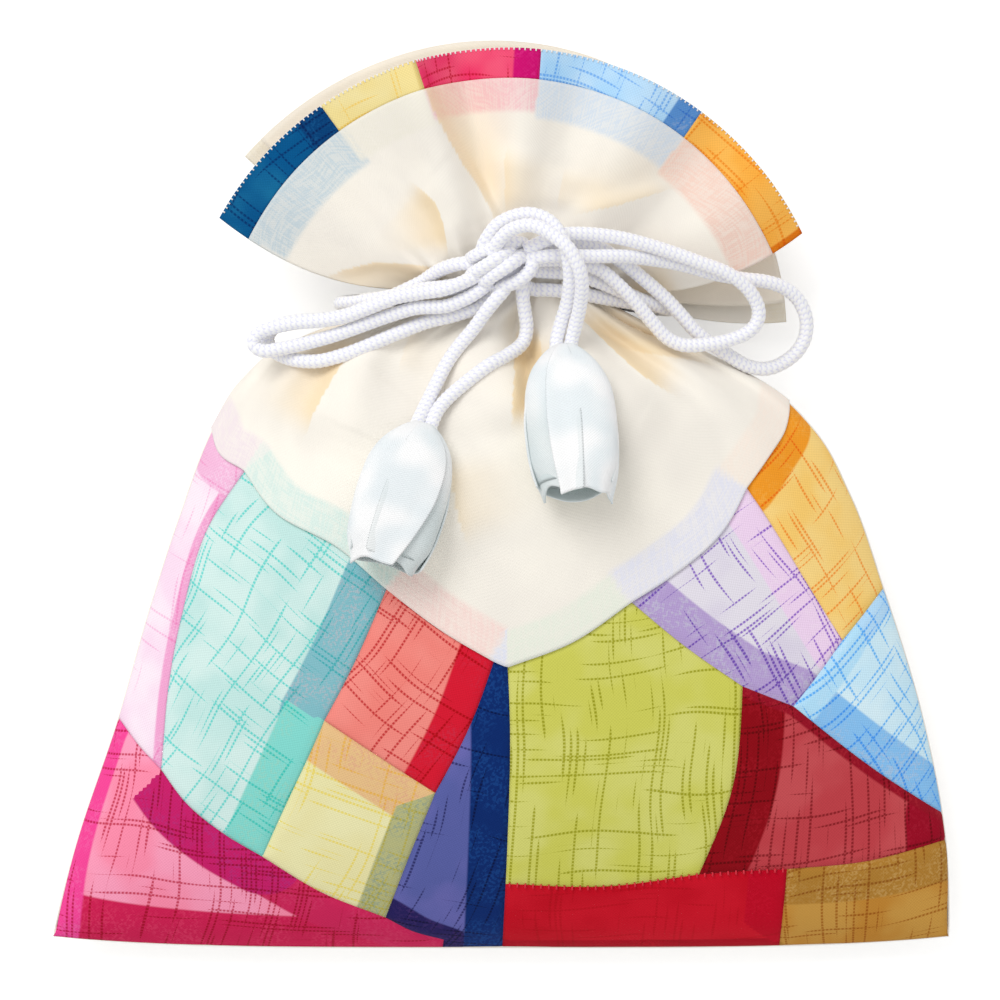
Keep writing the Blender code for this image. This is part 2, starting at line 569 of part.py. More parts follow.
def make_yoke():
    """Make the cream cloth from the patchwork's V edge through the tie to the coloured band."""
    places = yoke_places()
    lows = [yoke_edge_up(across) for across in places]
    grid = []
    for j in range(YOKE_ROWS + 1):
        share = 1 - (1 - j / YOKE_ROWS) ** BODY_ROW_POWER
        grid.append([body_point(1, across, mix(low, 1, share)) for across, low in zip(places, lows)])
    for j in range(FRILL_ROWS + 1):
        share = (j / FRILL_ROWS) ** FRILL_ROW_POWER
        grid.append([frill_point(1, across, share * band_start(across)) for across in places])
    grid = draw_in(grid, SEAM_ROOM, ("low", "high"))
    cloth("front_yoke", grid, 1, CLOTH, material("front_yoke", CREAM, CLOTH_ROUGHNESS))


def make_bands():
    for (name, colour), start, end in zip(BAND_COLOURS, BAND_JOINTS, BAND_JOINTS[1:]):
        columns = max(2, round((end - start) * YOKE_COLUMNS / 2))
        grid = []
        for share in (0, 1):
            row = []
            for i in range(columns + 1):
                across = mix(start, end, i / columns)
                row.append(frill_point(1, across, mix(band_start(across), 1, share)))
            grid.append(row)
        edges = ["low"]
        if start > -1:
            edges.append("near")
        if end < 1:
            edges.append("far")
        grid = draw_in(grid, SEAM_ROOM, edges)
        cloth(name, grid, 1, CLOTH, material(name, colour, CLOTH_ROUGHNESS))


def make_back():
    places = across_places(BACK_COLUMNS)
    grid = []
    for j in range(BACK_ROWS + 1):
        share = 1 - (1 - j / BACK_ROWS) ** BODY_ROW_POWER
        grid.append([body_point(-1, across, share) for across in places])
    for j in range(FRILL_ROWS + 1):
        share = (j / FRILL_ROWS) ** FRILL_ROW_POWER
        grid.append([frill_point(-1, across, share) for across in places])
    cloth("back_panel", grid, -1, CLOTH, material("back_panel", CREAM, CLOTH_ROUGHNESS))


def make_linings():
    places = across_places(LINING_COLUMNS)
    for name, face in (("lining_front", 1), ("lining_back", -1)):
        grid = []
        for j in range(LINING_ROWS + 1):
            share = 1 - (1 - j / LINING_ROWS) ** BODY_ROW_POWER
            grid.append([body_point(face, across, share, lined=True) for across in places])
        for j in range(FRILL_ROWS + 1):
            share = (j / FRILL_ROWS) ** FRILL_ROW_POWER
            grid.append([frill_point(face, across * LINING_REACH, share, lined=True)
                         for across in places])
        cloth(name, grid, face, LINING_CLOTH, material(name, LINING_CREAM, CLOTH_ROUGHNESS))


def smooth_route(route):
    """Read points along a smooth curve through a route's own points (a Catmull-Rom curve)."""
    knots = [Vector(place) * MM for place in route]
    ends = [knots[0] * 2 - knots[1], *knots, knots[-1] * 2 - knots[-2]]
    points = []
    for before, start, end, after in zip(ends, ends[1:], ends[2:], ends[3:]):
        steps = max(1, round((end - start).length / CORD_STEP))
        for i in range(steps):
            f = i / steps
            bend = 2 * before - 5 * start + 4 * end - after
            turn = 3 * start - before - 3 * end + after
            points.append(start + ((end - before) * f + bend * f ** 2 + turn * f ** 3) / 2)
    points.append(knots[-1])
    return points


def cord(name, route, finish):
    """Make a cord as a round tube along its route."""
    curve = bpy.data.curves.new(name, "CURVE")
    curve.dimensions = "3D"
    curve.bevel_depth = CORD_DIAMETER / 2
    curve.bevel_resolution = 2
    curve.use_fill_caps = True
    points = smooth_route(route)
    line = curve.splines.new("POLY")
    line.points.add(len(points) - 1)
    for spot, point in zip(line.points, points):
        spot.co = (*point, 1)
    tube = bpy.data.objects.new(name, curve)
    bpy.context.collection.objects.link(tube)
    curve.materials.append(finish)
    return tube


def casing_run(level, side):
    """Follow the cord round the neck inside the casing, from its front entry to its back one."""
    room = GATHER_AT_TIE + FIT + CORD_DIAMETER / 2
    wide = NECK_HALF_WIDTH - room
    deep = NECK_HALF_DEPTH - room
    run = []
    for i in range(CASING_POINTS):
        turn = mix(CASING_ENTRY_ANGLE, -180 - CASING_ENTRY_ANGLE, i / (CASING_POINTS - 1))
        angle = math.radians(turn) * side
        run.append(tuple(value / MM for value in (TIE_X + wide * math.sin(angle), level,
                                                  SEAM_HEIGHT + deep * math.cos(angle))))
    return run


def make_neck_cords(finish):
    """Run each cord from the knot in at its own vent, round the neck and out there again."""
    left = LEFT_NECK_FRONT + casing_run(TIE_Y - CASING_PITCH / 2, -1) + LEFT_NECK_BACK
    right = RIGHT_NECK_FRONT + casing_run(TIE_Y + CASING_PITCH / 2, 1) + RIGHT_NECK_BACK
    cord("neck_cord_left", left, finish)
    cord("neck_cord_right", right, finish)


def make_bow(finish):
    cord("left_loop_outer", LEFT_LOOP_OUTER, finish)
    cord("left_loop_inner", LEFT_LOOP_INNER, finish)
    cord("right_loop_outer", RIGHT_LOOP_OUTER, finish)
    cord("right_loop_inner", RIGHT_LOOP_INNER, finish)
    cord("left_tail_near", LEFT_TAIL_NEAR, finish)
    cord("left_tail_far", LEFT_TAIL_FAR, finish)
    cord("right_tail_low", RIGHT_TAIL_LOW, finish)
    cord("right_tail_high", RIGHT_TAIL_HIGH, finish)


def closed_mesh(name, rings, finish):
    """Skin a closed body over rings of points, with a fan at either end."""
    mesh = bpy.data.meshes.new(name)
    shape = bmesh.new()
    loops = [[shape.verts.new(point) for point in ring] for ring in rings]
    for low, high in zip(loops, loops[1:]):
        for i in range(len(low)):
            j = (i + 1) % len(low)
            shape.faces.new((low[i], low[j], high[j], high[i]))
    for loop, order in ((loops[0], -1), (loops[-1], 1)):
        middle = shape.verts.new(sum((spot.co for spot in loop), Vector()) / len(loop))
        for i in range(len(loop)):
            fan = (loop[i], loop[(i + 1) % len(loop)], middle)
            shape.faces.new(fan[::order])
    bmesh.ops.recalc_face_normals(shape, faces=shape.faces)
    for side in shape.faces:
        side.smooth = True
    shape.to_mesh(mesh)
    shape.free()
    body = bpy.data.objects.new(name, mesh)
    bpy.context.collection.objects.link(body)
    mesh.materials.append(finish)
    return body


def wrap(name, route, finish):
    """Make one turn of cord over the knot as a round tube along its route."""
    points = smooth_route(route)
    radius = KNOT_WRAP_DIAMETER / 2
    turns = [math.tau * k / KNOT_WRAP_SIDES for k in range(KNOT_WRAP_SIDES)]
    rings = []
    for i, point in enumerate(points):
        ahead = (points[min(i + 1, len(points) - 1)] - points[max(i - 1, 0)]).normalized()
        side = ahead.cross(Vector((0, 0, 1))).normalized()
        lift = side.cross(ahead)
        rings.append([point + side * (radius * math.cos(a)) + lift * (radius * math.sin(a))
                      for a in turns])
    return closed_mesh(name, rings, finish)


def make_knot(finish):
    mesh = bpy.data.meshes.new("bow_knot")
    shape = bmesh.new()
    bmesh.ops.create_uvsphere(shape, u_segments=16, v_segments=10, radius=1)
    bmesh.ops.scale(shape, vec=Vector(KNOT_RADII) * MM, verts=shape.verts)
    for side in shape.faces:
        side.smooth = True
    shape.to_mesh(mesh)
    shape.free()
    knot = bpy.data.objects.new("bow_knot", mesh)
    bpy.context.collection.objects.link(knot)
    knot.location = Vector(KNOT_CORE) * MM
    mesh.materials.append(finish)
    for name, route in (("wrap_diagonal", KNOT_WRAP_DIAGONAL), ("wrap_round", KNOT_WRAP_ROUND)):
        turn = wrap(name, route, finish)
        turn.hide_render = True
        turn.display_type = "WIRE"
        joined = knot.modifiers.new(name, "BOOLEAN")
        joined.operation = "UNION"
        joined.solver = "EXACT"
        joined.object = turn


def make_bud(name, top, tip, finish):
    """Make a bud along its own -Y axis and lay it from its top, where the cords enter, to its tip."""
    start = Vector(top) * MM
    lean = Vector(tip) * MM - start
    length = lean.length
    rings = []
    for share, swell in BUD_PROFILE:
        ring = []
        for k in range(BUD_SEGMENTS):
            turn = math.tau * k / BUD_SEGMENTS
            petal = math.cos(BUD_PETALS * turn)
            width = swell * (1 + BUD_PETAL_RELIEF * petal * share)
            ring.append(Vector((BUD_WIDTH / 2 * width * math.cos(turn),
                                -length * share - BUD_PETAL_REACH * petal * share ** BUD_TIP_POWER,
                                BUD_THICKNESS / 2 * width * math.sin(turn))))
        rings.append(ring)
    rings.append([Vector((point.x * BUD_MOUTH_SHARE, -length + BUD_MOUTH_DEPTH, point.z * BUD_MOUTH_SHARE))
                  for point in rings[-1]])
    bud = closed_mesh(name, rings, finish)
    bud.location = start
    bud.rotation_euler = lean.to_track_quat("-Y", "Z").to_euler()
    return bud


def main():
    for old in list(bpy.data.objects):
        bpy.data.objects.remove(old, do_unlink=True)
    make_patches()
    make_yoke()
    make_bands()
    make_back()
    make_linings()
    braid = material("cord_white", CORD_WHITE, CORD_ROUGHNESS)
    make_neck_cords(braid)
    make_bow(braid)
    make_knot(braid)
    make_bud("bud_left", *LEFT_BUD, material("bud_left", CORD_WHITE, CLOTH_ROUGHNESS))
    make_bud("bud_right", *RIGHT_BUD, material("bud_right", CORD_WHITE, CLOTH_ROUGHNESS))


main()
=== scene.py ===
# %% [markdown]
# # A patchwork drawstring pouch of sheer ramie
# The real pouch is thirteen printed patches sewn into a front panel, a cream yoke with a V edge,
# a plain back, a lining, two braided cords tied in a bow, and a cloth bud on each pair of cord ends.
# It lies on its back and is seen from straight above. X is across, Y is up the pouch, Z is towards us.
# Lengths are in millimetres until a mesh is made.

import math

import bpy
import numpy as np
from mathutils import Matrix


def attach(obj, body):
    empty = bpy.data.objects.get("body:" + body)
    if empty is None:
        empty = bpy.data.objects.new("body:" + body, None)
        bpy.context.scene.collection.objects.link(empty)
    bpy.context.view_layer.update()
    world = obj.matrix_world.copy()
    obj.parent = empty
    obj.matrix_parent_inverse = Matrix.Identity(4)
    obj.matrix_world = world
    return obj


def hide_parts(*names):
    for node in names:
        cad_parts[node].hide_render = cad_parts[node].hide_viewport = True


MM = 0.001
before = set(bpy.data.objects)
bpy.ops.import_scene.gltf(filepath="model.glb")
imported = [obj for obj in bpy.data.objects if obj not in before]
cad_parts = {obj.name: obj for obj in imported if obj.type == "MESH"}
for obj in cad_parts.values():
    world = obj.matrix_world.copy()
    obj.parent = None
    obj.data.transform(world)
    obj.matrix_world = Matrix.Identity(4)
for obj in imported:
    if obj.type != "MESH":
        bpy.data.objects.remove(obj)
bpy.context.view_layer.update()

# %% [markdown]
# ## Camera
# The pouch is seen flat on, with almost no perspective: near and far folds are the same size.
# So the camera hangs straight above it on a very long lens, far enough to fill the picture.

# %% Hang the camera
PIXEL = 0.172
PICTURE_WIDTH = 1000
PICTURE_MIDDLE = (501, 500)
LENS = 1200
SENSOR = 36
MIDDLE_HEIGHT = 15
FAR_CLIP = 20

camera_data = bpy.data.cameras.new("camera")
camera_data.lens = LENS
camera_data.sensor_width = SENSOR
camera_data.clip_end = FAR_CLIP
camera = bpy.data.objects.new("camera", camera_data)
bpy.context.collection.objects.link(camera)
camera_height = MIDDLE_HEIGHT + PICTURE_WIDTH * PIXEL * LENS / SENSOR
camera.location = (-PIXEL * MM, 0, camera_height * MM)
bpy.context.scene.camera = camera
print("camera hangs", round(camera_height * MM, 3), "m up")


def spot(x, y):
    """Turn a place in the picture, in pixels from its top left, into X and Y."""
    return (x - PICTURE_MIDDLE[0]) * PIXEL, (PICTURE_MIDDLE[1] - y) * PIXEL


# %% [markdown]
# ## Helpers: curves, grids and finishes
# Every shape below is a formula on whole numpy arrays: a curve read between given places, or a surface
# of two numbers. One helper turns a grid of points into a mesh piece.

# %% Read smooth curves
def smooth(stations, at):
    """Read a cubic curve through (place, value) pairs: Hermite pieces with the pairs' own slopes."""
    places, values = np.array(stations, float).T
    slopes = np.gradient(values, places)
    at = np.clip(at, places[0], places[-1])
    i = np.clip(np.searchsorted(places, at) - 1, 0, len(places) - 2)
    step = places[i + 1] - places[i]
    f = (at - places[i]) / step
    start = (2 * f ** 3 - 3 * f ** 2 + 1) * values[i] + (f ** 3 - 2 * f ** 2 + f) * step * slopes[i]
    end = (3 * f ** 2 - 2 * f ** 3) * values[i + 1] + (f ** 3 - f ** 2) * step * slopes[i + 1]
    return start + end


def ease(low, high, at):
    """Run from 0 at low to 1 at high: 3 f^2 - 2 f^3."""
    f = np.clip((at - low) / (high - low), 0, 1)
    return f * f * (3 - 2 * f)


def mix(first, second, share):
    """Go from first to second by a share: first + (second - first) share."""
    return first + (second - first) * share


def length_along(points):
    """Sum the steps between points, from 0 at the first."""
    steps = np.linalg.norm(np.diff(points, axis=0), axis=1)
    return np.concatenate([[0], np.cumsum(steps)])


def unit(vectors):
    """Divide each vector by its length."""
    return vectors / np.maximum(np.linalg.norm(vectors, axis=-1, keepdims=True), 1e-9)


print("an ease is at", float(ease(0, 1, 0.25)), "a quarter of the way")

# %% [markdown]
# A piece of cloth is one layer of points, and a Solidify modifier gives it its thickness. A thin
# closed shell could be computed instead, but one layer is easier to fold and to measure.

# %% Make a mesh piece
def mesh_piece(name, points, faces, finish, uv=None, marks=None):
    """Make an object of points in mm and faces, with UVs and named values at its points."""
    mesh = bpy.data.meshes.new(name)
    mesh.from_pydata((points * MM).tolist(), [], faces.tolist() if hasattr(faces, "tolist") else faces)
    mesh.polygons.foreach_set("use_smooth", np.ones(len(mesh.polygons), bool))
    if uv is not None:
        corners = np.empty(len(mesh.loops), np.int32)
        mesh.loops.foreach_get("vertex_index", corners)
        mesh.uv_layers.new(name="Cloth").data.foreach_set("uv", uv[corners].astype(np.float32).ravel())
    for mark, values in (marks or {}).items():
        store = mesh.attributes.new(mark, "FLOAT", "POINT")
        store.data.foreach_set("value", values.astype(np.float32).ravel())
    mesh.materials.append(finish)
    mesh.update()
    piece = bpy.data.objects.new(name, mesh)
    bpy.context.collection.objects.link(piece)
    return piece


def grid_faces(rows, columns, facing=1):
    """List the quads of a grid, counter-clockwise for facing 1."""
    i = np.arange(rows - 1)[:, None] * columns + np.arange(columns - 1)[None, :]
    quads = np.stack([i, i + 1, i + columns + 1, i + columns], -1).reshape(-1, 4)
    return quads if facing > 0 else quads[:, ::-1]


def cloth_piece(name, grid, facing, thickness, finish, uv, marks=None):
    """Make a sheet from a grid of points and give it its thickness inward."""
    rows, columns = grid.shape[:2]
    flat_marks = {mark: values.reshape(-1) for mark, values in (marks or {}).items()}
    piece = mesh_piece(name, grid.reshape(-1, 3), grid_faces(rows, columns, facing), finish,
                       uv.reshape(-1, 2), flat_marks)
    layer = piece.modifiers.new("Cloth", "SOLIDIFY")
    layer.thickness = thickness * MM
    layer.offset = -1
    return piece


print("a grid of 3 by 4 points has", len(grid_faces(3, 4)), "faces")

# %% [markdown]
# The flat size of a cloth is the size that it would be cut to. It is measured along its own threads,
# on the same grid that makes its mesh.

# %% Measure a piece of cloth
def declare_cloth(piece, grid):
    """Print a sheet's cut size: longest row, longest column, and area = sum |diagonals crossed| / 2."""
    width = np.linalg.norm(np.diff(grid, axis=1), axis=2).sum(axis=1).max()
    length = np.linalg.norm(np.diff(grid, axis=0), axis=2).sum(axis=0).max()
    rising = grid[1:, 1:] - grid[:-1, :-1]
    falling = grid[1:, :-1] - grid[:-1, 1:]
    area = np.linalg.norm(np.cross(rising, falling), axis=2).sum() / 2
    area = min(area, width * length)
    print(piece.name, "is cut", round(width, 1), "by", round(length, 1), "mm,",
          round(area / 100, 1), "cm2")


# %% [markdown]
# A finish is a material of nodes. Its colours are written as a screen shows them, and the patterns
# read the cloth's own UV map in mm, so they follow every fold.

# %% Build finishes from nodes
def srgb(red, green, blue):
    """Turn a screen colour into light: ((c + 0.055) / 1.055)^2.4."""
    return tuple(c / 12.92 if c < 0.04 else ((c + 0.055) / 1.055) ** 2.4 for c in (red, green, blue))


class Finish:
    """A material whose nodes are added one call at a time."""

    def __init__(self, name, roughness=0.7, sheen=0.25):
        self.material = bpy.data.materials.new(name)
        self.material.use_nodes = True
        self.tree = self.material.node_tree
        self.shader = self.tree.nodes["Principled BSDF"]
        self.shader.inputs["Roughness"].default_value = roughness
        self.shader.inputs["Sheen Weight"].default_value = sheen
        self.shader.inputs["Sheen Roughness"].default_value = 0.4
        self.shader.inputs["Specular IOR Level"].default_value = 0.25

    def feed(self, socket, value):
        """Link a socket to a value's socket, or write a plain number or colour into it."""
        if isinstance(value, bpy.types.NodeSocket):
            self.tree.links.new(value, socket)
        elif isinstance(value, tuple) and len(value) == 3 and socket.type == "RGBA":
            socket.default_value = (*value, 1)
        else:
            socket.default_value = value

    def node(self, kind, values=(), **settings):
        """Add a node, its settings and its inputs as (name or number, value) pairs."""
        made = self.tree.nodes.new("ShaderNode" + kind)
        for setting, choice in settings.items():
            setattr(made, setting, choice)
        for key, value in values:
            self.feed(made.inputs[key], value)
        return made

    def math(self, operation, first, second=0.0):
        """Work out one operation on two values."""
        return self.node("Math", [(0, first), (1, second)], operation=operation).outputs[0]

    def vector(self, x, y, z=0.0):
        """Join three values into a place."""
        return self.node("CombineXYZ", [(0, x), (1, y), (2, z)]).outputs[0]

    def noise(self, vector, detail=0.0, scale=1.0):
        """Read smooth noise at a place, near 0.5 on average."""
        values = [("Vector", vector), ("Scale", scale), ("Detail", detail)]
        return self.node("TexNoise", values).outputs[0]

    def spread(self, value, low, high, start=0.0, end=1.0):
        """Run from start to end while the value runs from low to high."""
        return self.node("MapRange", [(0, value), (1, low), (2, high), (3, start), (4, end)],
                         interpolation_type="SMOOTHSTEP").outputs[0]

    def blend(self, first, second, share, kind="MIX"):
        """Mix two colours: first + (second - first) share, or first x second."""
        return self.node("Mix", [(0, share), (6, first), (7, second)], data_type="RGBA",
                         blend_type=kind).outputs[2]

    def weave(self, u, v, pitch):
        """Plain weave, -1 to 1: sin(2 pi u / pitch) x sin(2 pi v / pitch)."""
        return self.math("MULTIPLY", self.math("SINE", self.math("MULTIPLY", u, math.tau / pitch)),
                         self.math("SINE", self.math("MULTIPLY", v, math.tau / pitch)))

    def shaded(self, colour, shade):
        """Multiply a colour by one number."""
        grey = self.node("CombineColor", [(0, shade), (1, shade), (2, shade)]).outputs[0]
        return self.blend(colour, grey, 1.0, "MULTIPLY")

    def mark(self, name):
        """Read a value that the mesh keeps at its points."""
        return self.node("Attribute", attribute_name=name).outputs["Fac"]

    def cloth_uv(self):
        """Read the place on the cloth, in mm along its two thread directions."""
        uv = self.node("UVMap", uv_map="Cloth").outputs[0]
        parts = self.node("SeparateXYZ", [(0, uv)])
        return parts.outputs[0], parts.outputs[1]

    def bump(self, height, strength, distance):
        """Tilt the surface as if it had this height, in mm."""
        values = [("Strength", strength), ("Distance", distance * MM), ("Height", height)]
        self.feed(self.shader.inputs["Normal"], self.node("Bump", values).outputs[0])


print("half bright on screen is", round(srgb(0.5, 0.5, 0.5)[0], 3), "as light")

# %% [markdown]
# ## Cords
# Two braided cords draw the pouch shut. Each one goes round the neck inside its casing and comes
# back out, and both are tied in one doubled bow. A cord is a curve through chosen points, and its
# braid is cut into the tube's own surface: eight plaits that lean left and right by turns.

# %% Repeat the cords' routes
CORD_DIAMETER = 2.5
ROUTES = {
    "left_loop_outer": [
        (-3.5, 38.2, 28.2), (-7.4, 36.5, 27.4), (-10.4, 36.0, 27.2), (-13.9, 35.7, 26.8),
        (-18.1, 34.9, 26.2),
        (-22.6, 33.2, 25.4), (-26.8, 31.7, 24.4), (-31, 31, 23.2), (-35.4, 30.7, 21.9),
        (-38.6, 29.9, 20.8), (-40.1, 28, 20.2), (-39.5, 26, 20.4), (-37.2, 24.6, 21.3),
        (-34.4, 23.9, 23.1), (-31, 23.9, 24.4), (-26.8, 25, 25), (-22.6, 26.6, 25.7),
        (-17.8, 28.6, 26), (-12.9, 30.5, 26), (-7.7, 31.8, 26.4), (-3.6, 33.3, 26.6),
        (-1.4, 35.4, 26.9), (0, 37.6, 27.6)],
    "left_loop_inner": [
        (-1.8, 37.4, 28.6), (-4.2, 35.6, 28.9), (-6.6, 34.3, 28.8), (-9.8, 33.2, 28.6),
        (-14.7, 32.9, 28),
        (-19.8, 31.4, 27), (-24.8, 29.6, 26.2), (-29.2, 28.1, 25.2), (-33.7, 26.9, 24.4),
        (-37.8, 26, 24), (-40.8, 25.6, 23.6), (-42.4, 26.6, 23.2), (-42, 28.3, 23.2),
        (-39.6, 29.5, 23.8), (-35.4, 30.4, 24.8), (-31, 30.8, 26.1), (-26.8, 31.5, 27.3),
        (-22.6, 33, 28.3), (-18.1, 34.7, 29.1), (-13.9, 35.5, 29.7), (-10.4, 36, 30.1),
        (-7.4, 37, 30.2), (-3.9, 38.6, 29.6)],
    "right_loop_inner": [
        (4.2, 43, 29.6), (7.8, 44.6, 30.6), (10.6, 45.6, 30.2), (15.7, 45.6, 29), (21.3, 44.8, 27.6),
        (27.5, 43.1, 26), (33.5, 41, 24.6), (38.8, 39, 23), (42.1, 36.6, 21.5), (44, 33.7, 20),
        (44.2, 31.2, 19.4), (42.8, 29.1, 19.4), (39.6, 27.6, 20), (35.6, 26.8, 20.8),
        (31.5, 26.6, 21.4), (28.6, 27.8, 21.9), (26.2, 30.3, 22.8), (23.4, 33.6, 24),
        (20.1, 37, 25.3), (16.8, 39.6, 26.1), (12, 41, 26.9), (7.8, 41.2, 27.6),
        (4.2, 40.8, 28)],
    "right_loop_outer": [
        (4.2, 41.2, 29.6), (7.8, 41.8, 30.7), (11, 41.9, 30.2), (15.7, 41.8, 29.2), (21.3, 41.8, 27.2),
        (27.5, 41.1, 23.7), (31.9, 40.2, 22.1), (37, 38.8, 20.3), (41.6, 38, 18.7),
        (45.2, 37.6, 17.2), (48.5, 36.6, 15.6), (51, 34.6, 14.2), (52.4, 31.6, 13.2),
        (52.4, 28.4, 12.6), (51, 25.6, 12.6), (48.5, 23.6, 13), (45.7, 22.6, 14), (42.5, 23, 15.2),
        (39.6, 24.6, 16.4), (36.8, 26.4, 17.2), (33.5, 29, 18.2), (30.7, 32.1, 19.2),
        (27.9, 35, 20.4), (24.2, 38.2, 22.2), (20.6, 41, 24), (17.4, 43, 25.4), (14.3, 44, 26.4),
        (10.8, 44.2, 27.2), (7.9, 44, 27.6), (4.2, 42.6, 28.2)],
    "left_tail_near": [
        (1.6, 38.4, 28.2), (0.6, 36.2, 29.4), (-0.9, 34.4, 29.8), (-2.6, 32.3, 29.4),
        (-4.8, 29.3, 28.4),
        (-7.4, 26.2, 28.2), (-9.5, 23.1, 28.8), (-12, 18.1, 30.9), (-14.3, 13.3, 33.6),
        (-14.8, 11.1, 34.4)],
    "left_tail_far": [
        (3.2, 38.4, 28.4), (3.7, 35.6, 28), (3.8, 34.2, 27.3), (4.1, 32.2, 26.6),
        (4.4, 29.4, 26), (3.6, 26.8, 26.4),
        (0.8, 24.7, 28.9), (-2.6, 22.8, 31), (-7.9, 18.6, 31.7), (-10.5, 15.9, 32.4),
        (-11.8, 13.3, 33.6), (-12.4, 11.1, 34.4)],
    "right_tail_low": [
        (-3.4, 42.4, 29.4), (-2.6, 44.6, 30.4), (-0.4, 47.4, 31.4), (3, 48.9, 32), (6, 48.9, 32.6),
        (8.8, 47.4, 33.2),
        (10.6, 44.5, 33.8), (11.6, 41, 33.6), (11.8, 37.3, 32), (11.3, 33.7, 30), (10.3, 30.4, 28.8),
        (9.5, 27.1, 28.9), (9.8, 24.6, 30.2)],
    "right_tail_high": [
        (-1.6, 42.2, 31), (-0.4, 44.4, 32.6), (1.3, 46.1, 33.6), (3.6, 47, 34.6), (6, 46.9, 35.4),
        (8.6, 45.6, 36),
        (11.5, 43.2, 36.6), (13.3, 40, 36.2), (13.9, 37, 34.6), (13.6, 33.7, 32), (12.9, 30.4, 30),
        (12.1, 27.1, 29.2), (11.9, 24.6, 30.4)],
}
print(len(ROUTES), "routes in the bow")

# %% [markdown]
# The two cords leave the knot, turn in through the vents at the side seams, and cross the neck
# between its two layers, one just above the other.

# %% Repeat the routes round the neck
NECK_HALF_WIDTH = 12.8
NECK_HALF_DEPTH = 9.9
TIE_X = 2.8
TIE_Y = 36.1
SEAM_HEIGHT = 13
CASING_PITCH = 2.8
CASING_INSET = 2.4
CASING_TURN = (74, -254)
CASING_STEPS = 15
LEFT_NECK_FRONT = [
    (-3.6, 40.6, 27.2), (-6.9, 40.6, 26.2), (-9.6, 39.9, 24.2), (-11.5, 38.9, 22.2),
    (-13.4, 37.6, 20.6),
    (-15.8, 36.4, 20.6), (-19, 35, 20.2), (-22.4, 34.5, 18.8), (-23.8, 34.3, 16.8),
    (-22.4, 34.4, 14.9), (-20, 34.5, 14.3), (-16.5, 34.6, 14.4), (-12, 34.7, 14.5)]
LEFT_NECK_BACK = [
    (-12, 34.7, 11.5), (-17, 34.6, 11.5), (-21, 34.5, 11.6), (-25, 34.2, 12.4),
    (-27.4, 33.9, 14.8), (-27.2, 33.8, 17.8), (-24.8, 34, 20.4), (-21, 34.6, 22.7),
    (-17, 35.4, 23.5), (-13.4, 36.2, 23.5), (-9.8, 36.6, 24.1), (-6.6, 37.2, 24.8),
    (-3, 38.2, 26.4)]
RIGHT_NECK_FRONT = [
    (2.6, 38.2, 26.8), (5, 36.3, 25.2), (7.6, 36.1, 24.7), (10.4, 35.9, 23.9), (13.2, 35.6, 22.9),
    (16, 35, 21.8),
    (19.5, 34.4, 20.2), (22.6, 33.9, 18.6), (24.4, 33.7, 16.6), (23, 34, 14.7),
    (19.5, 35.6, 14.4), (16.6, 37.2, 14.5)]
RIGHT_NECK_BACK = [
    (15, 36.9, 11.4), (17.5, 35.1, 11.45), (20.8, 33.9, 11.4), (24.8, 33.2, 11.8), (27.5, 32.9, 13),
    (28.8, 32.8, 15.4), (27.4, 33.2, 17.8), (24, 34.4, 20.4), (20.4, 36, 22.4), (16.4, 37.6, 23.2),
    (13, 38.7, 24), (9.8, 39.1, 24.7), (7.4, 39.2, 25.2),
    (4, 39.6, 26.6)]


def casing_run(level, side):
    """Follow the neck inside the casing: an ellipse of angle 74 to -254 degrees at one level."""
    angle = np.radians(np.linspace(*CASING_TURN, CASING_STEPS)) * side
    x = TIE_X + (NECK_HALF_WIDTH - CASING_INSET) * np.sin(angle)
    z = SEAM_HEIGHT + (NECK_HALF_DEPTH - CASING_INSET) * np.cos(angle)
    return np.stack([x, np.full(CASING_STEPS, level), z], 1).tolist()


ROUTES["neck_cord_left"] = LEFT_NECK_FRONT + casing_run(TIE_Y - CASING_PITCH / 2, -1) + LEFT_NECK_BACK
ROUTES["neck_cord_right"] = RIGHT_NECK_FRONT + casing_run(TIE_Y + CASING_PITCH / 2, 1) + RIGHT_NECK_BACK
print("routes:", len(ROUTES))

# %% [markdown]
# A curve object with a round bevel would make a plain cord. A braid has relief, so the tube is
# computed: a ring is carried along the line, and its radius rises and falls with the plaits.

# %% Sweep a braided tube along a route
ROUTE_STEPS = 24
FEWEST_POINTS = 8


def smooth_route(route, spacing):
    """Read even steps along a Catmull-Rom curve: each stretch is a cubic of its four nearest points."""
    knots = np.array(route, float)
    ends = np.vstack([knots[0] * 2 - knots[1], knots, knots[-1] * 2 - knots[-2]])
    f = np.linspace(0, 1, ROUTE_STEPS, endpoint=False)[None, :, None]
    before, start, end, after = (ends[i:len(ends) - 3 + i, None] for i in range(4))
    bend = 2 * before - 5 * start + 4 * end - after
    turn = 3 * start - before - 3 * end + after
    line = (start + ((end - before) * f + bend * f ** 2 + turn * f ** 3) / 2).reshape(-1, 3)
    line = np.vstack([line, knots[-1]])
    run = length_along(line)
    at = np.linspace(0, run[-1], max(FEWEST_POINTS, round(run[-1] / spacing)))
    return np.stack([np.interp(at, run, line[:, axis]) for axis in range(3)], 1)


def frames_along(line):
    """Carry a side direction along a line with no twist: at each step drop its part along the line."""
    ahead = unit(np.gradient(line, axis=0))
    side = np.empty_like(line)
    carried = np.cross(ahead[0], (0, 0, 1))
    for i, direction in enumerate(ahead):
        carried = carried - direction * np.dot(carried, direction)
        carried = carried / np.linalg.norm(carried)
        side[i] = carried
    return side, np.cross(ahead, side)


BRAID_PITCH = 1.0
BRAID_PLAITS = 8
BRAID_DEPTH = 0.06
BRAID_SINK = 0.05
PLAIT_LEAN = 0.42
GROOVE_SHARE = 0.13


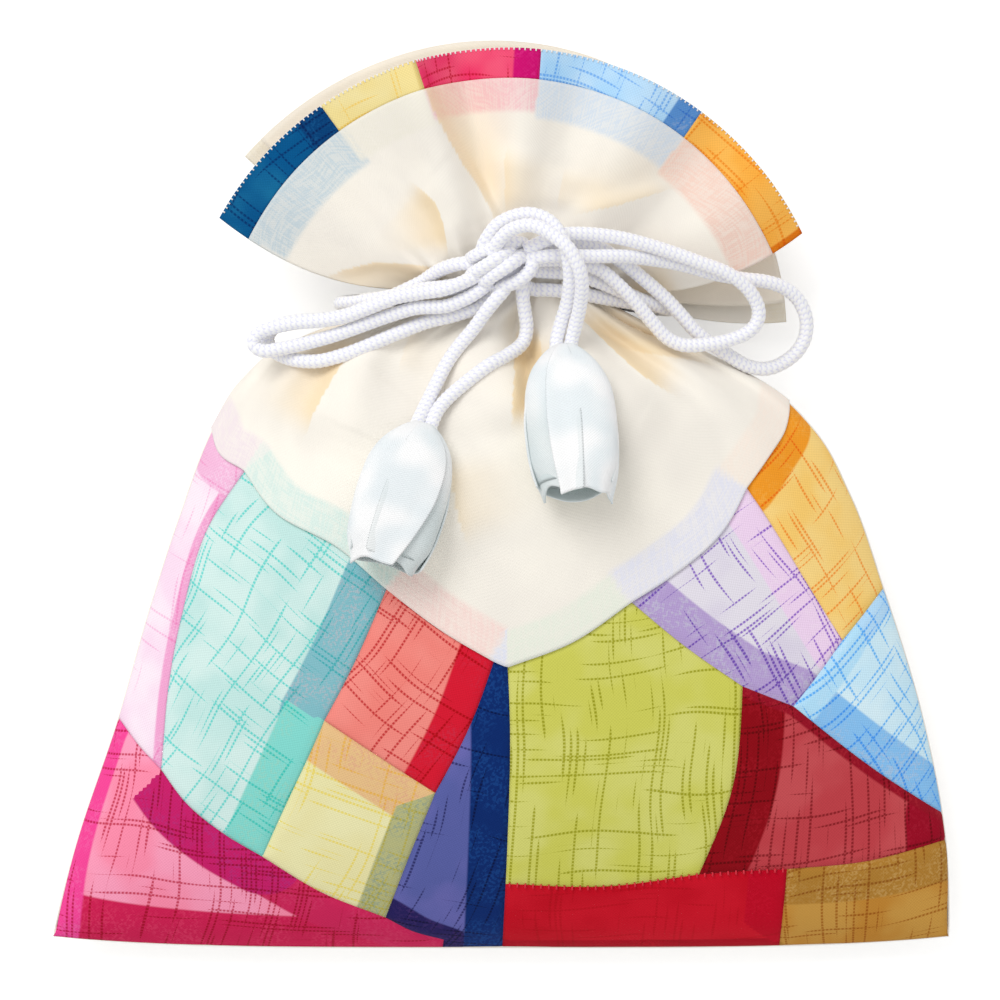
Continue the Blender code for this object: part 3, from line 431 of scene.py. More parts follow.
def braid(along, turn):
    """Height of the plaits, -1 to 1: cos(2 pi (along / pitch + lean)), leaning by turns each way."""
    lane = turn / math.tau * BRAID_PLAITS
    lean = PLAIT_LEAN * np.abs(lane - np.round(lane)) * 2
    groove = np.exp(-((lane - np.round(lane)) / GROOVE_SHARE) ** 2)
    return np.cos(math.tau * (along / BRAID_PITCH + lean)) - 0.5 * groove


def tube(line, radius, around):
    """Sweep a ring: point = line + side r cos(turn) + lift r sin(turn), with a fan over each end."""
    side, lift = frames_along(line)
    run = length_along(line)
    turn = np.arange(around) / around * math.tau
    along, turns = np.meshgrid(run, turn, indexing="ij")
    height = braid(along, turns)
    thick = radius + BRAID_DEPTH * height - BRAID_SINK
    ring = (side[:, None] * np.cos(turns)[..., None] + lift[:, None] * np.sin(turns)[..., None])
    points = (line[:, None] + ring * thick[..., None]).reshape(-1, 3)
    n = len(line)
    i, j = np.meshgrid(np.arange(n - 1), np.arange(around), indexing="ij")
    k = (j + 1) % around
    quads = np.stack([i * around + j, i * around + k, (i + 1) * around + k, (i + 1) * around + j],
                     -1).reshape(-1, 4)
    points = np.vstack([points, line[0], line[-1]])
    j = np.arange(around)
    k = (j + 1) % around
    caps = np.concatenate([np.stack([k, j, np.full(around, n * around)], 1),
                           np.stack([(n - 1) * around + j, (n - 1) * around + k,
                                     np.full(around, n * around + 1)], 1)])
    height = np.concatenate([height.ravel(), [0, 0]])
    uv = np.stack([np.append(along.ravel(), [0, run[-1]]), np.append(turns.ravel(), [0, 0])], 1)
    return points, quads, caps, uv, height


print("the braid has", BRAID_PLAITS, "plaits,", BRAID_PITCH, "mm long")

# %% [markdown]
# The cord is bright white, and shade is painted into the grooves between its plaits as a faint
# lavender. Each point of the tube keeps its braid height, so the finish can paint that shade with it.

# %% Make the cord's finish
cord_finish = Finish("white_braid", roughness=0.55, sheen=0.4)
# Painted shade: the grooves between the plaits turn lavender, and the knot's core half as much.
plait_shade = cord_finish.spread(cord_finish.mark("plait_shade"), -1.3, 0.1)
cord_colour = cord_finish.blend(srgb(0.90, 0.90, 0.975), srgb(1.0, 1.0, 1.0), plait_shade)
cord_finish.feed(cord_finish.shader.inputs["Base Color"], cord_colour)
strands = cord_finish.cloth_uv()
fibre = cord_finish.noise(cord_finish.vector(cord_finish.math("MULTIPLY", strands[0], 6.0),
                                             cord_finish.math("MULTIPLY", strands[1], 9.0)), 1.0)
cord_finish.bump(fibre, 0.25, 0.08)
print("the braid's finish has", len(cord_finish.tree.nodes), "nodes")

# %% Make the cords
CORD_SPACING = 0.24
CORD_FACETS = 24
cord_lines = {}
for name, route in ROUTES.items():
    line = smooth_route(route, CORD_SPACING)
    points, quads, caps, uv, height = tube(line, CORD_DIAMETER / 2, CORD_FACETS)
    piece = mesh_piece(name + "_braid", points, quads.tolist() + caps.tolist(), cord_finish.material,
                       uv, {"plait_shade": height})
    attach(piece, "root")
    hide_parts(name)
    cord_lines[name] = line
    print(name, "is", round(length_along(line)[-1], 1), "mm long")

# %% [markdown]
# ## Knot
# The bow's knot is doubled cord pulled tight round the crossing strands. Four turns show, and what
# lies behind them is hidden. The turns are short braided tubes that bulge over a core and dive in
# behind it.

# %% Wrap the knot
KNOT_CORE = np.array([0.4, 40.3, 28.6])
KNOT_TURNS = [
    [(-5.2, 38.3, 26.6), (-4.7, 38.9, 29.6), (-2.9, 40.0, 31.6),
     (-0.6, 41.4, 32.2), (1.3, 42.6, 30.6), (1.9, 43.3, 27.4)],
    [(-3.1, 36.8, 26.6), (-2.7, 37.5, 29.8), (-0.9, 38.8, 31.7),
     (1.4, 40.3, 32.2), (3.2, 41.6, 30.4), (3.6, 42.4, 27.2)],
    [(-1.4, 36.1, 27), (0.4, 36.6, 29.6), (2.9, 37.6, 30.6),
     (4.9, 39.3, 30.6), (5.6, 41.6, 29.6), (5, 43.2, 27.4)],
    [(-5.2, 41.4, 26.6), (-4.4, 41.9, 28.9), (-2.6, 42.8, 30.4),
     (-0.2, 43.9, 30.6), (2.4, 44.2, 29.4), (4, 43.9, 27)],
]
CORE_OFFSET = (0, 0.3, 1.2)
CORE_RADII = (4.2, 3.4, 2.9)
# The knot's hidden core gets a plait height that paints it half shaded.
CORE_SHADE = -0.6
knot_points, knot_faces, knot_uv, knot_height = [], [], [], []
count = 0
for route in KNOT_TURNS:
    points, quads, caps, uv, height = tube(smooth_route(route, CORD_SPACING), CORD_DIAMETER / 2,
                                           CORD_FACETS)
    knot_points.append(points)
    knot_faces += (quads + count).tolist() + (caps + count).tolist()
    knot_uv.append(uv)
    knot_height.append(height)
    count += len(points)


def ball(centre, radii, rows, columns):
    """Place a ball: centre + radii (sin p cos t, sin p sin t, cos p), closed at both poles."""
    p, t = np.meshgrid(np.linspace(0, math.pi, rows), np.linspace(0, math.tau, columns), indexing="ij")
    direction = np.stack([np.sin(p) * np.cos(t), np.sin(p) * np.sin(t), np.cos(p)], -1)
    return centre + direction * np.array(radii)


core = ball(KNOT_CORE - CORE_OFFSET, CORE_RADII, 16, 25)
knot_points.append(core.reshape(-1, 3))
knot_faces += (grid_faces(16, 25, -1) + count).tolist()
knot_uv.append(np.zeros((16 * 25, 2)))
knot_height.append(np.full(16 * 25, CORE_SHADE))
knot = mesh_piece("bow_knot_turns", np.vstack(knot_points), knot_faces, cord_finish.material,
                  np.vstack(knot_uv), {"plait_shade": np.concatenate(knot_height)})
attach(knot, "root")
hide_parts("bow_knot")
print("knot of", len(KNOT_TURNS), "turns")

# %% [markdown]
# ## Buds
# A bud hides each pair of cord ends: a small square of white cloth, folded round them into a tulip.
# Overlapping petals are gathered at the top and stand open at the tip. Each petal is a surface of
# its own, a part of a flattened bulb with its free edges lifted a little.

# %% Size the buds and their petals
BUD_WIDTH = 14.6
BUD_THICKNESS = 8.8
BUD_PROFILE = [(0, 0.24), (0.04, 0.42), (0.13, 0.7), (0.28, 0.92), (0.45, 1), (0.65, 1), (0.85, 0.93),
               (1, 0.8)]
BUD_CLOTH = (40, 28)
PETAL_THICKNESS = 0.4
LEFT_BUD = ((-13.2, 13.1, 34.4), (-20.2, -11.4, 40.4))
RIGHT_BUD = ((10.8, 26.5, 29.8), (12.6, 0.6, 42))
# Each petal: middle angle, half span and sweep of its two edges in degrees, lift, reach of its tip
# and of its edges, and shade
LEFT_PETALS = [(262, 104, 0, 0, 0.01, 0.98, 0.95, 0.5), (28, 80, 0, 10, 0.04, 1.01, 0.93, 0.75),
               (132, 96, 44, 0, 0.11, 1.02, 0.99, 0)]
RIGHT_PETALS = [(265, 104, 0, 0, 0.01, 0.97, 0.95, 0.5), (150, 72, 0, 0, 0.04, 0.98, 0.99, 0.7),
                (46, 70, 0, -10, 0.11, 1.0, 1.04, 0)]
print("buds are", BUD_WIDTH, "mm wide")


# %% Work out the bulb and its petals
def lay_from(top, tip):
    """Give the axes of a bud: along its length, across it, and out of its broad side."""
    start = np.array(top, float)
    lean = np.array(tip, float) - start
    length = np.linalg.norm(lean)
    ahead = lean / length
    across = np.cross(ahead, (0, 0, 1))
    across /= np.linalg.norm(across)
    return start, length, ahead, across, np.cross(across, ahead)


def bulb(place, turn, share, lift):
    """Place bulb points: start + length share ahead + swell (width cos^0.85, thickness sin^0.6)."""
    start, length, ahead, across, out = place
    swell = smooth(BUD_PROFILE, share) * (1 + lift)
    x = BUD_WIDTH / 2 * swell * np.sign(np.cos(turn)) * np.abs(np.cos(turn)) ** 0.85
    z = BUD_THICKNESS / 2 * swell * np.sign(np.sin(turn)) * np.abs(np.sin(turn)) ** 0.6
    return (start + ahead * (length * share)[..., None] + across * -x[..., None] + out * z[..., None])


def petal(place, middle, span, first_sweep, last_sweep, lift, tip, edge):
    """Make a petal's grid: turn runs over a span that sweeps along it, share runs to its tip."""
    s, t = np.meshgrid(np.linspace(-1, 1, 61), np.linspace(0, 1, 70))
    reach = mix(tip, edge, np.abs(s) ** 1.6) + 0.02 * np.sin(4.5 * s + middle)
    share = t * reach
    curl = 0.09 * ease(0.75, 1, np.abs(s)) * ease(0.25, 0.6, t) - 0.16 * ease(0.8, 1, t) * (1 - s ** 2)
    pleat = 0.035 * np.sin(6 * s + middle) * ease(0.4, 0.05, t)
    turn = middle + span * s + t ** 1.5 * (first_sweep * (1 - s) + last_sweep * (1 + s)) / 2
    return bulb(place, np.radians(turn), share, (lift + curl) * ease(0, 0.3, t) + pleat), s, t


def slab_faces(rows, columns):
    """List the quads of an outer grid, an inner grid behind it and the rim that joins them."""
    inner = rows * columns
    rim = np.concatenate([np.arange(columns - 1), np.arange(1, rows) * columns - 1,
                          np.arange(rows * columns - 1, (rows - 1) * columns, -1),
                          np.arange((rows - 1) * columns, 0, -columns)])
    after = np.roll(rim, -1)
    wall = np.stack([after, rim, rim + inner, after + inner], -1)
    return np.concatenate([grid_faces(rows, columns), grid_faces(rows, columns, -1) + inner, wall])


print("a petal of 3 by 3 points has", len(slab_faces(3, 3)), "faces")

# %% [markdown]
# The buds' cloth is a bright, fine plain weave. Shade is painted into the hollows between the petals as
# a greenish grey: each point keeps how deep it lies, and the finish darkens it by that.

# %% Build the buds' finish
BUD_THREAD = 0.5
bud_finish = Finish("white_bud_cloth", roughness=0.95, sheen=0.2)
weft, warp = bud_finish.cloth_uv()
threads = bud_finish.weave(weft, warp, BUD_THREAD)
cloud = bud_finish.noise(bud_finish.vector(weft, warp), 1.0, 0.11)
bud_colour = bud_finish.blend(srgb(0.93, 0.955, 0.965), srgb(1.0, 1.0, 1.0),
                              bud_finish.spread(cloud, 0.35, 0.6))
# Painted shade: the hollows of the bud turn greenish grey.
hollow_shade_share = bud_finish.spread(bud_finish.mark("hollow_shade"), 0, 1)
bud_colour = bud_finish.blend(bud_colour, srgb(0.84, 0.88, 0.88), hollow_shade_share)
bud_finish.feed(bud_finish.shader.inputs["Base Color"], bud_colour)
bud_finish.bump(threads, 0.5, 0.09)
print("the buds' finish has", len(bud_finish.tree.nodes), "nodes")


# %% Make the buds
def make_bud(name, ends, petals):
    """Join a closed inner bulb and its petals into one piece."""
    place = lay_from(*ends)
    turn, share = np.meshgrid(np.linspace(0, math.tau, 49), np.linspace(0, 0.93, 40), indexing="xy")
    # Painted shade: the bulb darkens towards its deep end, and its inside is fully shaded.
    skin, depth = bulb(place, turn, share, np.full_like(turn, -0.06)), ease(0.75, 0.93, share)
    top = skin[0].mean(axis=0) * np.ones((1, 49, 1))
    inner = bulb(place, turn[0], np.full(49, 0.72), np.full(49, -0.55))[None]
    deep = inner.mean(axis=1, keepdims=True) * np.ones((1, 49, 1))
    closed = np.concatenate([top, skin, inner, deep])
    painted_shade = np.concatenate([np.zeros((1, 49)), depth, np.ones((2, 49))])
    points, marks = [closed.reshape(-1, 3)], [painted_shade.reshape(-1)]
    faces, first = grid_faces(*closed.shape[:2]).tolist(), closed.shape[0] * closed.shape[1]
    wide, long = BUD_CLOTH
    flat = np.stack(np.meshgrid(np.linspace(0, wide, 49), np.linspace(0, long, closed.shape[0])), -1)
    uv = [flat.reshape(-1, 2)]
    for middle, span, first_sweep, last_sweep, lift, tip, edge, shade in petals:
        outer, s, t = petal(place, middle, span, first_sweep, last_sweep, lift, tip, edge)
        axis = place[0] + place[2] * np.sum((outer - place[0]) * place[2], -1, keepdims=True)
        inside = outer + unit(axis - outer) * PETAL_THICKNESS
        points += [outer.reshape(-1, 3), inside.reshape(-1, 3)]
        # Painted shade on each petal by its shade value, and on every petal's inner side.
        painted_shade = shade * ease(0.15, 0.7, t) * (1 - 0.5 * np.abs(s))
        marks += [painted_shade.reshape(-1), np.full(s.size, 0.8)]
        faces += (slab_faces(*s.shape) + first).tolist()
        flat = np.stack([(s * span + middle) / 360 * wide, t * long], -1).reshape(-1, 2)
        uv += [flat, flat]
        first += 2 * s.size
    piece = mesh_piece(name + "_petals", np.vstack(points), faces, bud_finish.material, np.vstack(uv),
                       {"hollow_shade": np.concatenate(marks)})
    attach(piece, "root")
    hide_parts(name)
    return piece


bud_left = make_bud("bud_left", LEFT_BUD, LEFT_PETALS)
bud_right = make_bud("bud_right", RIGHT_BUD, RIGHT_PETALS)
print("buds made of", len(LEFT_PETALS), "and", len(RIGHT_PETALS), "petals")

# %% [markdown]
# The loops and tails hang free. Each one's path is read at a few points along its line, and the kind of
# its far end is printed. A loop ends at the knot. The first tail of each pair carries its bud.

PATH_POINTS = 36
FREE_CORDS = {
    "left_loop_outer": ("object", []), "left_loop_inner": ("object", [knot]),
    "right_loop_inner": ("object", []), "right_loop_outer": ("object", []),
    "left_tail_near": ("fitting", [bud_left]), "left_tail_far": ("object", []),
    "right_tail_low": ("fitting", [bud_right]), "right_tail_high": ("object", []),
}
for name, (far_end, with_pieces) in FREE_CORDS.items():
    line = cord_lines[name] * MM
    path = line[np.linspace(0, len(line) - 1, PATH_POINTS).round().astype(int)]
    print(name, "ends at its", far_end)

# %% [markdown]
# ## The pouch's form
# The filled body and the frill above the tie are worked out from the same sizes as the solid part,
# but on far finer grids. `across` runs from -1 at the left side seam to 1 at the right one, `up`
# from 0 at the bottom seam to 1 at the tie, and `out` from 0 at the tie to 1 at the frill's edge.

# %% Sizes of the body and the frill
CLOTH = 0.6
FIT = 0.3
HALF_WIDTH = 77.1
CORNER_Y = -75.2
BOTTOM_BOW = 1.9
GROOVE_WIDTH = 2.4
LEFT_SIDE = [(0, 1), (0.14, 0.94), (0.34, 0.83), (0.51, 0.75), (0.66, 0.67), (0.8, 0.58),
             (0.87, 0.51), (0.92, 0.41), (0.96, 0.24), (1, 0)]
RIGHT_SIDE = [(0, 1), (0.14, 0.99), (0.35, 0.92), (0.55, 0.81), (0.69, 0.72), (0.79, 0.62),
              (0.85, 0.51), (0.91, 0.32), (0.96, 0.13), (1, 0)]
FRONT_RISE = 21.5
BACK_DROP = 15.5
SEAM_SHAPE = [(0, 0.5), (0.15, 0.68), (0.4, 0.9), (0.7, 1), (1, 1)]
FRONT_SHAPE = [(0, 0), (0.03, 0.2), (0.08, 0.4), (0.18, 0.66), (0.32, 0.88), (0.48, 1),
               (0.62, 1), (0.75, 0.93), (0.86, 0.8), (0.94, 0.7), (1, 0.6)]
BACK_SHAPE = [(0, 0), (0.03, 0.22), (0.08, 0.45), (0.18, 0.78), (0.32, 0.95), (0.48, 1),
              (0.75, 0.97), (0.86, 0.88), (0.94, 0.78), (1, 0.7)]
EDGE_POWER = [(0, 0.8), (0.2, 1.1), (0.45, 1.35), (0.8, 1.35), (0.95, 1.1), (1, 1)]
VENT_HALF_GAP = 3.1
FRILL_X = 1
FRILL_Y = 21.3
FRILL_RADIUS = 56.4
BACK_RADIUS = [(-1, 1.045), (0, 1.01), (1, 0.87)]
BAND_WIDTH = 5.2
BAND_JOINTS = [-1, -0.575, -0.285, 0.07, 0.555, 1]
GATHERS = [(-1, 0), (-0.88, 0.6), (-0.76, -0.7), (-0.62, 0.9), (-0.48, -0.8), (-0.34, 0.8),
           (-0.2, -0.9), (-0.04, 1), (0.12, -1), (0.28, 0.9), (0.44, -0.7), (0.58, 0.8),
           (0.72, -0.8), (0.86, 0.7), (1, 0)]
GATHER_HEIGHT = (1.9, 0.85)
GATHER_FADE = [(0, 0), (0.55, 0), (0.7, 0.16), (0.82, 0.55), (0.9, 1), (0.95, 0.9), (1, 0.45)]
FRILL_FOLDS = [(-1, 0), (-0.82, 0.5), (-0.6, -0.55), (-0.42, 0.1), (-0.3, 1), (-0.16, -0.9),
               (0.02, 0.5), (0.2, -0.35), (0.4, 0.45), (0.62, -0.6), (0.84, 0.55), (1, 0)]
# The front and the back flap: middle angle and half span in degrees, sag at the sides, height of the
# edge at its middle and at its sides, and height of the folds
FRONT_FLAP = (1.5, 62.5, 9.5, (24, 16.5), 3.2)
BACK_FLAP = (14.5, 64.5, 5, (4.5, 7), 1.6)
LINING_SHARE = 0.94
LINING_INSET = 6
NECK_LINING_INSET = 4.5
LINING_NECK_DROP = 3.8
LINING_SINK = 2.4
LINING_RISE = {1: 0.9, -1: 0.82}
print("the body is", 2 * HALF_WIDTH, "mm wide at the bottom seam")

# %% [markdown]
# The body is like two shells that meet at the side seams. Each row across it is an arch, whose width,
# height and steepness are read from the curves above, so one formula serves the whole bag. A cloth
# simulation would settle by itself, but its seams couldn't be placed to a millimetre.


# %% Work out the body's surface
def body_surface(face, across, up, lined=False):
    """Body: x = centre + half sin a, z = seam + rise cos(a)^power, with a = across 90 degrees."""
    across, up = np.broadcast_arrays(np.asarray(across, float), np.asarray(up, float))
    near_tie = ease(0.8, 0.97, up)
    if lined:
        across = across * mix(1, LINING_SHARE, near_tie)
    angle = across * math.pi / 2
    left = mix(TIE_X - NECK_HALF_WIDTH, -HALF_WIDTH, smooth(LEFT_SIDE, up))
    right = mix(TIE_X + NECK_HALF_WIDTH, HALF_WIDTH, smooth(RIGHT_SIDE, up))
    half = (right - left) / 2
    swell = FRONT_RISE * smooth(FRONT_SHAPE, up) if face > 0 else BACK_DROP * smooth(BACK_SHAPE, up)
    rise = mix(swell, NECK_HALF_DEPTH, ease(0.8, 1, up))
    bottom = CORNER_Y - BOTTOM_BOW * (1 - np.sin(angle) ** 4)
    top = TIE_Y - GROOVE_WIDTH / 2
    gap = mix(FIT / 2, VENT_HALF_GAP, ease(0.93, 0.975, up))
    if lined:
        half = half - mix(LINING_INSET, NECK_LINING_INSET, near_tie)
        rise = rise * mix(LINING_RISE[face], 1 - NECK_LINING_INSET / NECK_HALF_DEPTH, near_tie)
        bottom = bottom + LINING_INSET
        top = TIE_Y - LINING_NECK_DROP
        gap = FIT / 2
    round_off = np.maximum(np.cos(angle), 0) ** smooth(EDGE_POWER, up)
    x = (left + right) / 2 + half * np.sin(angle)
    z = SEAM_HEIGHT * smooth(SEAM_SHAPE, up) + face * (gap + np.maximum(rise - gap, 0) * round_off)
    if not lined:
        fold = mix(*GATHER_HEIGHT, ease(0.95, 1, up)) * smooth(GATHERS, across * face)
        fold = fold * smooth(GATHER_FADE, up)
        x = x + fold * np.sin(angle) * ease(0.9, 1, up)
        z = z + face * fold * np.cos(angle)
    return rest_on_floor(face, np.stack([x, mix(bottom, top, up), z], -1), lined)


def rest_on_floor(face, points, lined=False):
    """Keep the back's cloth on the surface that the pouch lies on: z is at least the floor's."""
    if face < 0:
        points[..., 2] = np.maximum(points[..., 2], CLOTH + 1.2 * lined)
    return points


print("the front's middle is", round(float(body_surface(1, 0, 0.5)[2]), 1), "mm up")

# %% [markdown]
# Above the tie the cloth opens into a fan. Each of its ribs is a curve from the neck to the edge,
# pulled down in its middle, and the ribs side by side make the flap.


# %% Work out the frill's surface
def frill_surface(face, across, out, lined=False):
    """Frill: each rib is (1-o)^2 neck + 2 o (1-o) middle + o^2 edge, with the middle pulled down."""
    across, out = np.broadcast_arrays(np.asarray(across, float), np.asarray(out, float))
    neck = body_surface(face, across, np.ones_like(across))
    neck[..., 1] = TIE_Y + GROOVE_WIDTH / 2
    middle_angle, half_span, sag, edge_height, tall = FRONT_FLAP if face > 0 else BACK_FLAP
    angle = np.radians(middle_angle + across * half_span)
    radius = FRILL_RADIUS * (smooth(BACK_RADIUS, across) if face < 0 else np.ones_like(across))
    height = mix(*edge_height, across ** 2)
    fold = tall * smooth(FRILL_FOLDS, across * face)
    edge = np.stack([FRILL_X + radius * np.sin(angle), FRILL_Y + radius * np.cos(angle), height], -1)
    middle = (neck + edge) / 2
    middle[..., 1] -= sag * across ** 4
    o = out[..., None]
    points = neck * (1 - o) ** 2 + middle * 2 * o * (1 - o) + edge * o ** 2
    points[..., 2] = mix(neck[..., 2], height, ease(0, 1, out)) + fold * ease(0.05, 0.8, out)
    if lined:
        inner = body_surface(face, across / LINING_SHARE, np.ones_like(across), lined=True)
        inner[..., 1] = TIE_Y + LINING_NECK_DROP
        sunk = np.array([0, 0, -face * LINING_SINK])
        points = points + mix(inner - neck, sunk, ease(0.12, 0.4, out)[..., None])
    return rest_on_floor(face, points, lined)


NORMAL_STEP = 0.004


def outward(surface, face, across, along):
    """Find a surface's normal from two small steps on it: their cross product, turned outward."""
    over = (surface(face, np.minimum(across + NORMAL_STEP, 1), along)
            - surface(face, np.maximum(across - NORMAL_STEP, -1), along))
    rise = (surface(face, across, np.minimum(along + NORMAL_STEP, 1))
            - surface(face, across, np.maximum(along - NORMAL_STEP, 0)))
    return unit(np.cross(over, rise)) * (1 if face > 0 else -1)


print("the frill's edge reaches", round(float(frill_surface(1, 0, 1)[1]), 1), "mm up the pouch")

# %% [markdown]
# ## Folds
# Drawing the cords makes folds that the plain form lacks: some are sharp, where cloth laps over itself,
# and some are soft. Each fold is a line, given by its points. The cloth rises towards the line, gently
# on one side and steeply on the other, and warm shade is painted on the steep side, standing in for its
# shadow and for light that comes through several layers. Each is (picture points, height, gentle width,
# steep width, weight of the painted shade); the steep side lies to the right of the line's direction.

# %% List the folds
FRONT_FOLDS = [
    ([(510, 270), (503, 246), (492, 214), (478, 187), (463, 165), (445, 134), (432, 108),
      (424, 89), (413, 60), (404, 34), (396, 8)], 3.2, 8, 1.1, 0.8),
    ([(404, 176), (420, 188), (435, 203), (443, 222), (447, 245), (449, 268)], 1.9, 7, 1.3, 1.0),
    ([(300, 288), (343, 270), (377, 262), (405, 264), (440, 268), (470, 280)], 1.6, 9, 1.2, 0.8),
    ([(690, 184), (650, 196), (618, 206), (590, 212), (560, 220)], 2.0, 11, 2.2, 0.55),
    ([(506, 222), (505, 195), (504, 165), (508, 140)], 1.1, 2.2, 5.0, 0.35),
    ([(556, 214), (560, 190), (566, 165)], 0.9, 3, 3.5, 0.25),
    ([(376, 326), (352, 352), (338, 370), (325, 393), (314, 413), (307, 433), (300, 450)],
     2.4, 12, 1.8, 1.0),
    ([(690, 404), (660, 388), (636, 371), (610, 347), (575, 312), (560, 298)], 2.6, 13, 1.2, 1.0),
    ([(512, 440), (512, 410), (514, 382), (516, 352), (517, 318)], 2.2, 9, 1.4, 1.1),
    ([(536, 318), (540, 340), (545, 380), (548, 420)], 1.2, 6, 2.0, 0.5),
    ([(470, 560), (458, 520), (450, 480), (446, 440)], 1.5, 9, 5.0, 0.6),
    ([(395, 380), (405, 345), (420, 320)], 1.0, 6, 3.0, 0.3),
    ([(690, 300), (650, 306), (610, 300)], 1.2, 5, 1.6, 0.8),
    ([(735, 372), (690, 360), (640, 352), (604, 344)], 0.8, 7, 3.0, 0.4),
]


BROAD_SHADE_SHARE = 0.75
BROAD_SHADE_WIDTH = 7
CREASE_SHADE_WIDTH = 1.8
RIPPLE_HEIGHT = 0.12


def fold_field(points):
    """Sum the folds at X and Y: height exp(-(distance / width)^2), with the width of that side."""
    flat = points[..., :2].reshape(-1, 2)
    height = np.zeros(len(flat))
    warm_shade = np.zeros(len(flat))
    for places, tall, gentle, steep, shade_weight in FRONT_FOLDS:
        line = np.array([spot(*place) for place in places])
        start, end = line[:-1], line[1:]
        run = end - start
        long = np.linalg.norm(run, axis=1)
        rel = flat[:, None] - start[None]
        share = np.clip(np.sum(rel * run, -1) / long ** 2, 0, 1)
        near = rel - run * share[..., None]
        away = np.linalg.norm(near, axis=-1)
        best = np.argmin(away, axis=1)
        row = np.arange(len(flat))
        distance = away[row, best]
        crossed = run[best, 0] * rel[row, best, 1] - run[best, 1] * rel[row, best, 0]
        right = crossed < 0
        before = np.concatenate([[0], np.cumsum(long)])[best]
        travelled = (before + share[row, best] * long[best]) / long.sum()
        fade = ease(0, 0.35, travelled) * ease(1, 0.65, travelled)
        width = np.where(right, steep, gentle)
        height += tall * fade * np.exp(-(distance / width) ** 2)
        # Painted shade on the steep side of each fold: broad, and strongest right at the crease.
        warm_shade += shade_weight * fade * right * (
            BROAD_SHADE_SHARE * np.exp(-(distance / (steep + BROAD_SHADE_WIDTH)) ** 2)
            + (1 - BROAD_SHADE_SHARE) * np.exp(-(distance / CREASE_SHADE_WIDTH) ** 2))
    return height.reshape(points.shape[:-1]), warm_shade.reshape(points.shape[:-1])


def ripple(points):
    """Add the small unevenness of cloth: three crossing waves of 0.12 mm."""
    x, y = points[..., 0], points[..., 1]
    waves = np.sin(x / 4.1 + y / 9.7) + np.sin(y / 5.3 - x / 13) + np.sin((x + y) / 7.9 + 1.3)
    return RIPPLE_HEIGHT * waves


print(len(FRONT_FOLDS), "folds, the tallest", max(fold[1] for fold in FRONT_FOLDS), "mm")

# %% [markdown]
# ## The patchwork's seams
# Thirteen patches meet in straight-looking seams that bend over the filled form. Corners and bends
# are (share of the half width, share of the height), the same as in the solid part. A patch is a
# Coons surface: two blends between opposite sides, less the blend between its corners.

# %% List corners, bends and patches
CORNERS = {
    "yoke_left": (-1, 0.8), "A": (-0.845, 0.735), "B": (-0.365, 0.556), "C": (-0.068, 0.446),
    "tip": (-0.035, 0.438), "D": (0.298, 0.535), "E": (0.695, 0.71), "yoke_right": (1, 0.84),
    "G": (-1, 0.342), "H": (-0.86, 0.268), "I": (-0.571, 0.14), "J": (-0.49, 0.35),
    "K": (-0.194, 0.24), "L": (-0.268, 0.048), "M": (-0.13, 0.012), "M_low": (-0.13, 0),
    "N": (0.003, 0),
    "O": (-0.006, 0.1), "Q": (0.565, 0.402), "R": (0.433, 0.114), "S": (0.685, 0.37),
    "U": (0.849, 0.468), "V": (1, 0.545), "W": (1, 0.194), "X": (1, 0.152), "Y": (0.634, 0.12),
    "Z": (0.622, 0), "left_corner": (-1, 0), "right_corner": (1, 0),
}
SEAM_BENDS = {
    ("yoke_left", "A"): [(-0.95, 0.765)],
    ("A", "B"): [(-0.74, 0.68), (-0.505, 0.615)],
    ("B", "C"): [(-0.2, 0.49)],
    ("tip", "D"): [(0.14, 0.477)],
    ("D", "E"): [(0.42, 0.575), (0.58, 0.64)],
    ("E", "yoke_right"): [(0.81, 0.762), (0.91, 0.8)],
    ("A", "H"): [(-0.905, 0.65), (-0.91, 0.5), (-0.895, 0.38)],
    ("B", "J"): [(-0.425, 0.45)],
    ("J", "I"): [(-0.535, 0.24)],
    ("G", "H"): [(-0.93, 0.302)],
    ("H", "I"): [(-0.78, 0.22), (-0.68, 0.177)],
    ("I", "L"): [(-0.42, 0.086)],
    ("L", "M"): [(-0.2, 0.026)],
    ("C", "K"): [(-0.125, 0.345)],
    ("K", "L"): [(-0.235, 0.14)],
    ("D", "Q"): [(0.44, 0.46)],
    ("Q", "R"): [(0.515, 0.25)],
    ("S", "W"): [(0.855, 0.27)],
    ("E", "U"): [(0.775, 0.59)],
    ("O", "R"): [(0.22, 0.096)],
    ("R", "Y"): [(0.53, 0.118)],
    ("Y", "X"): [(0.82, 0.128)],
}
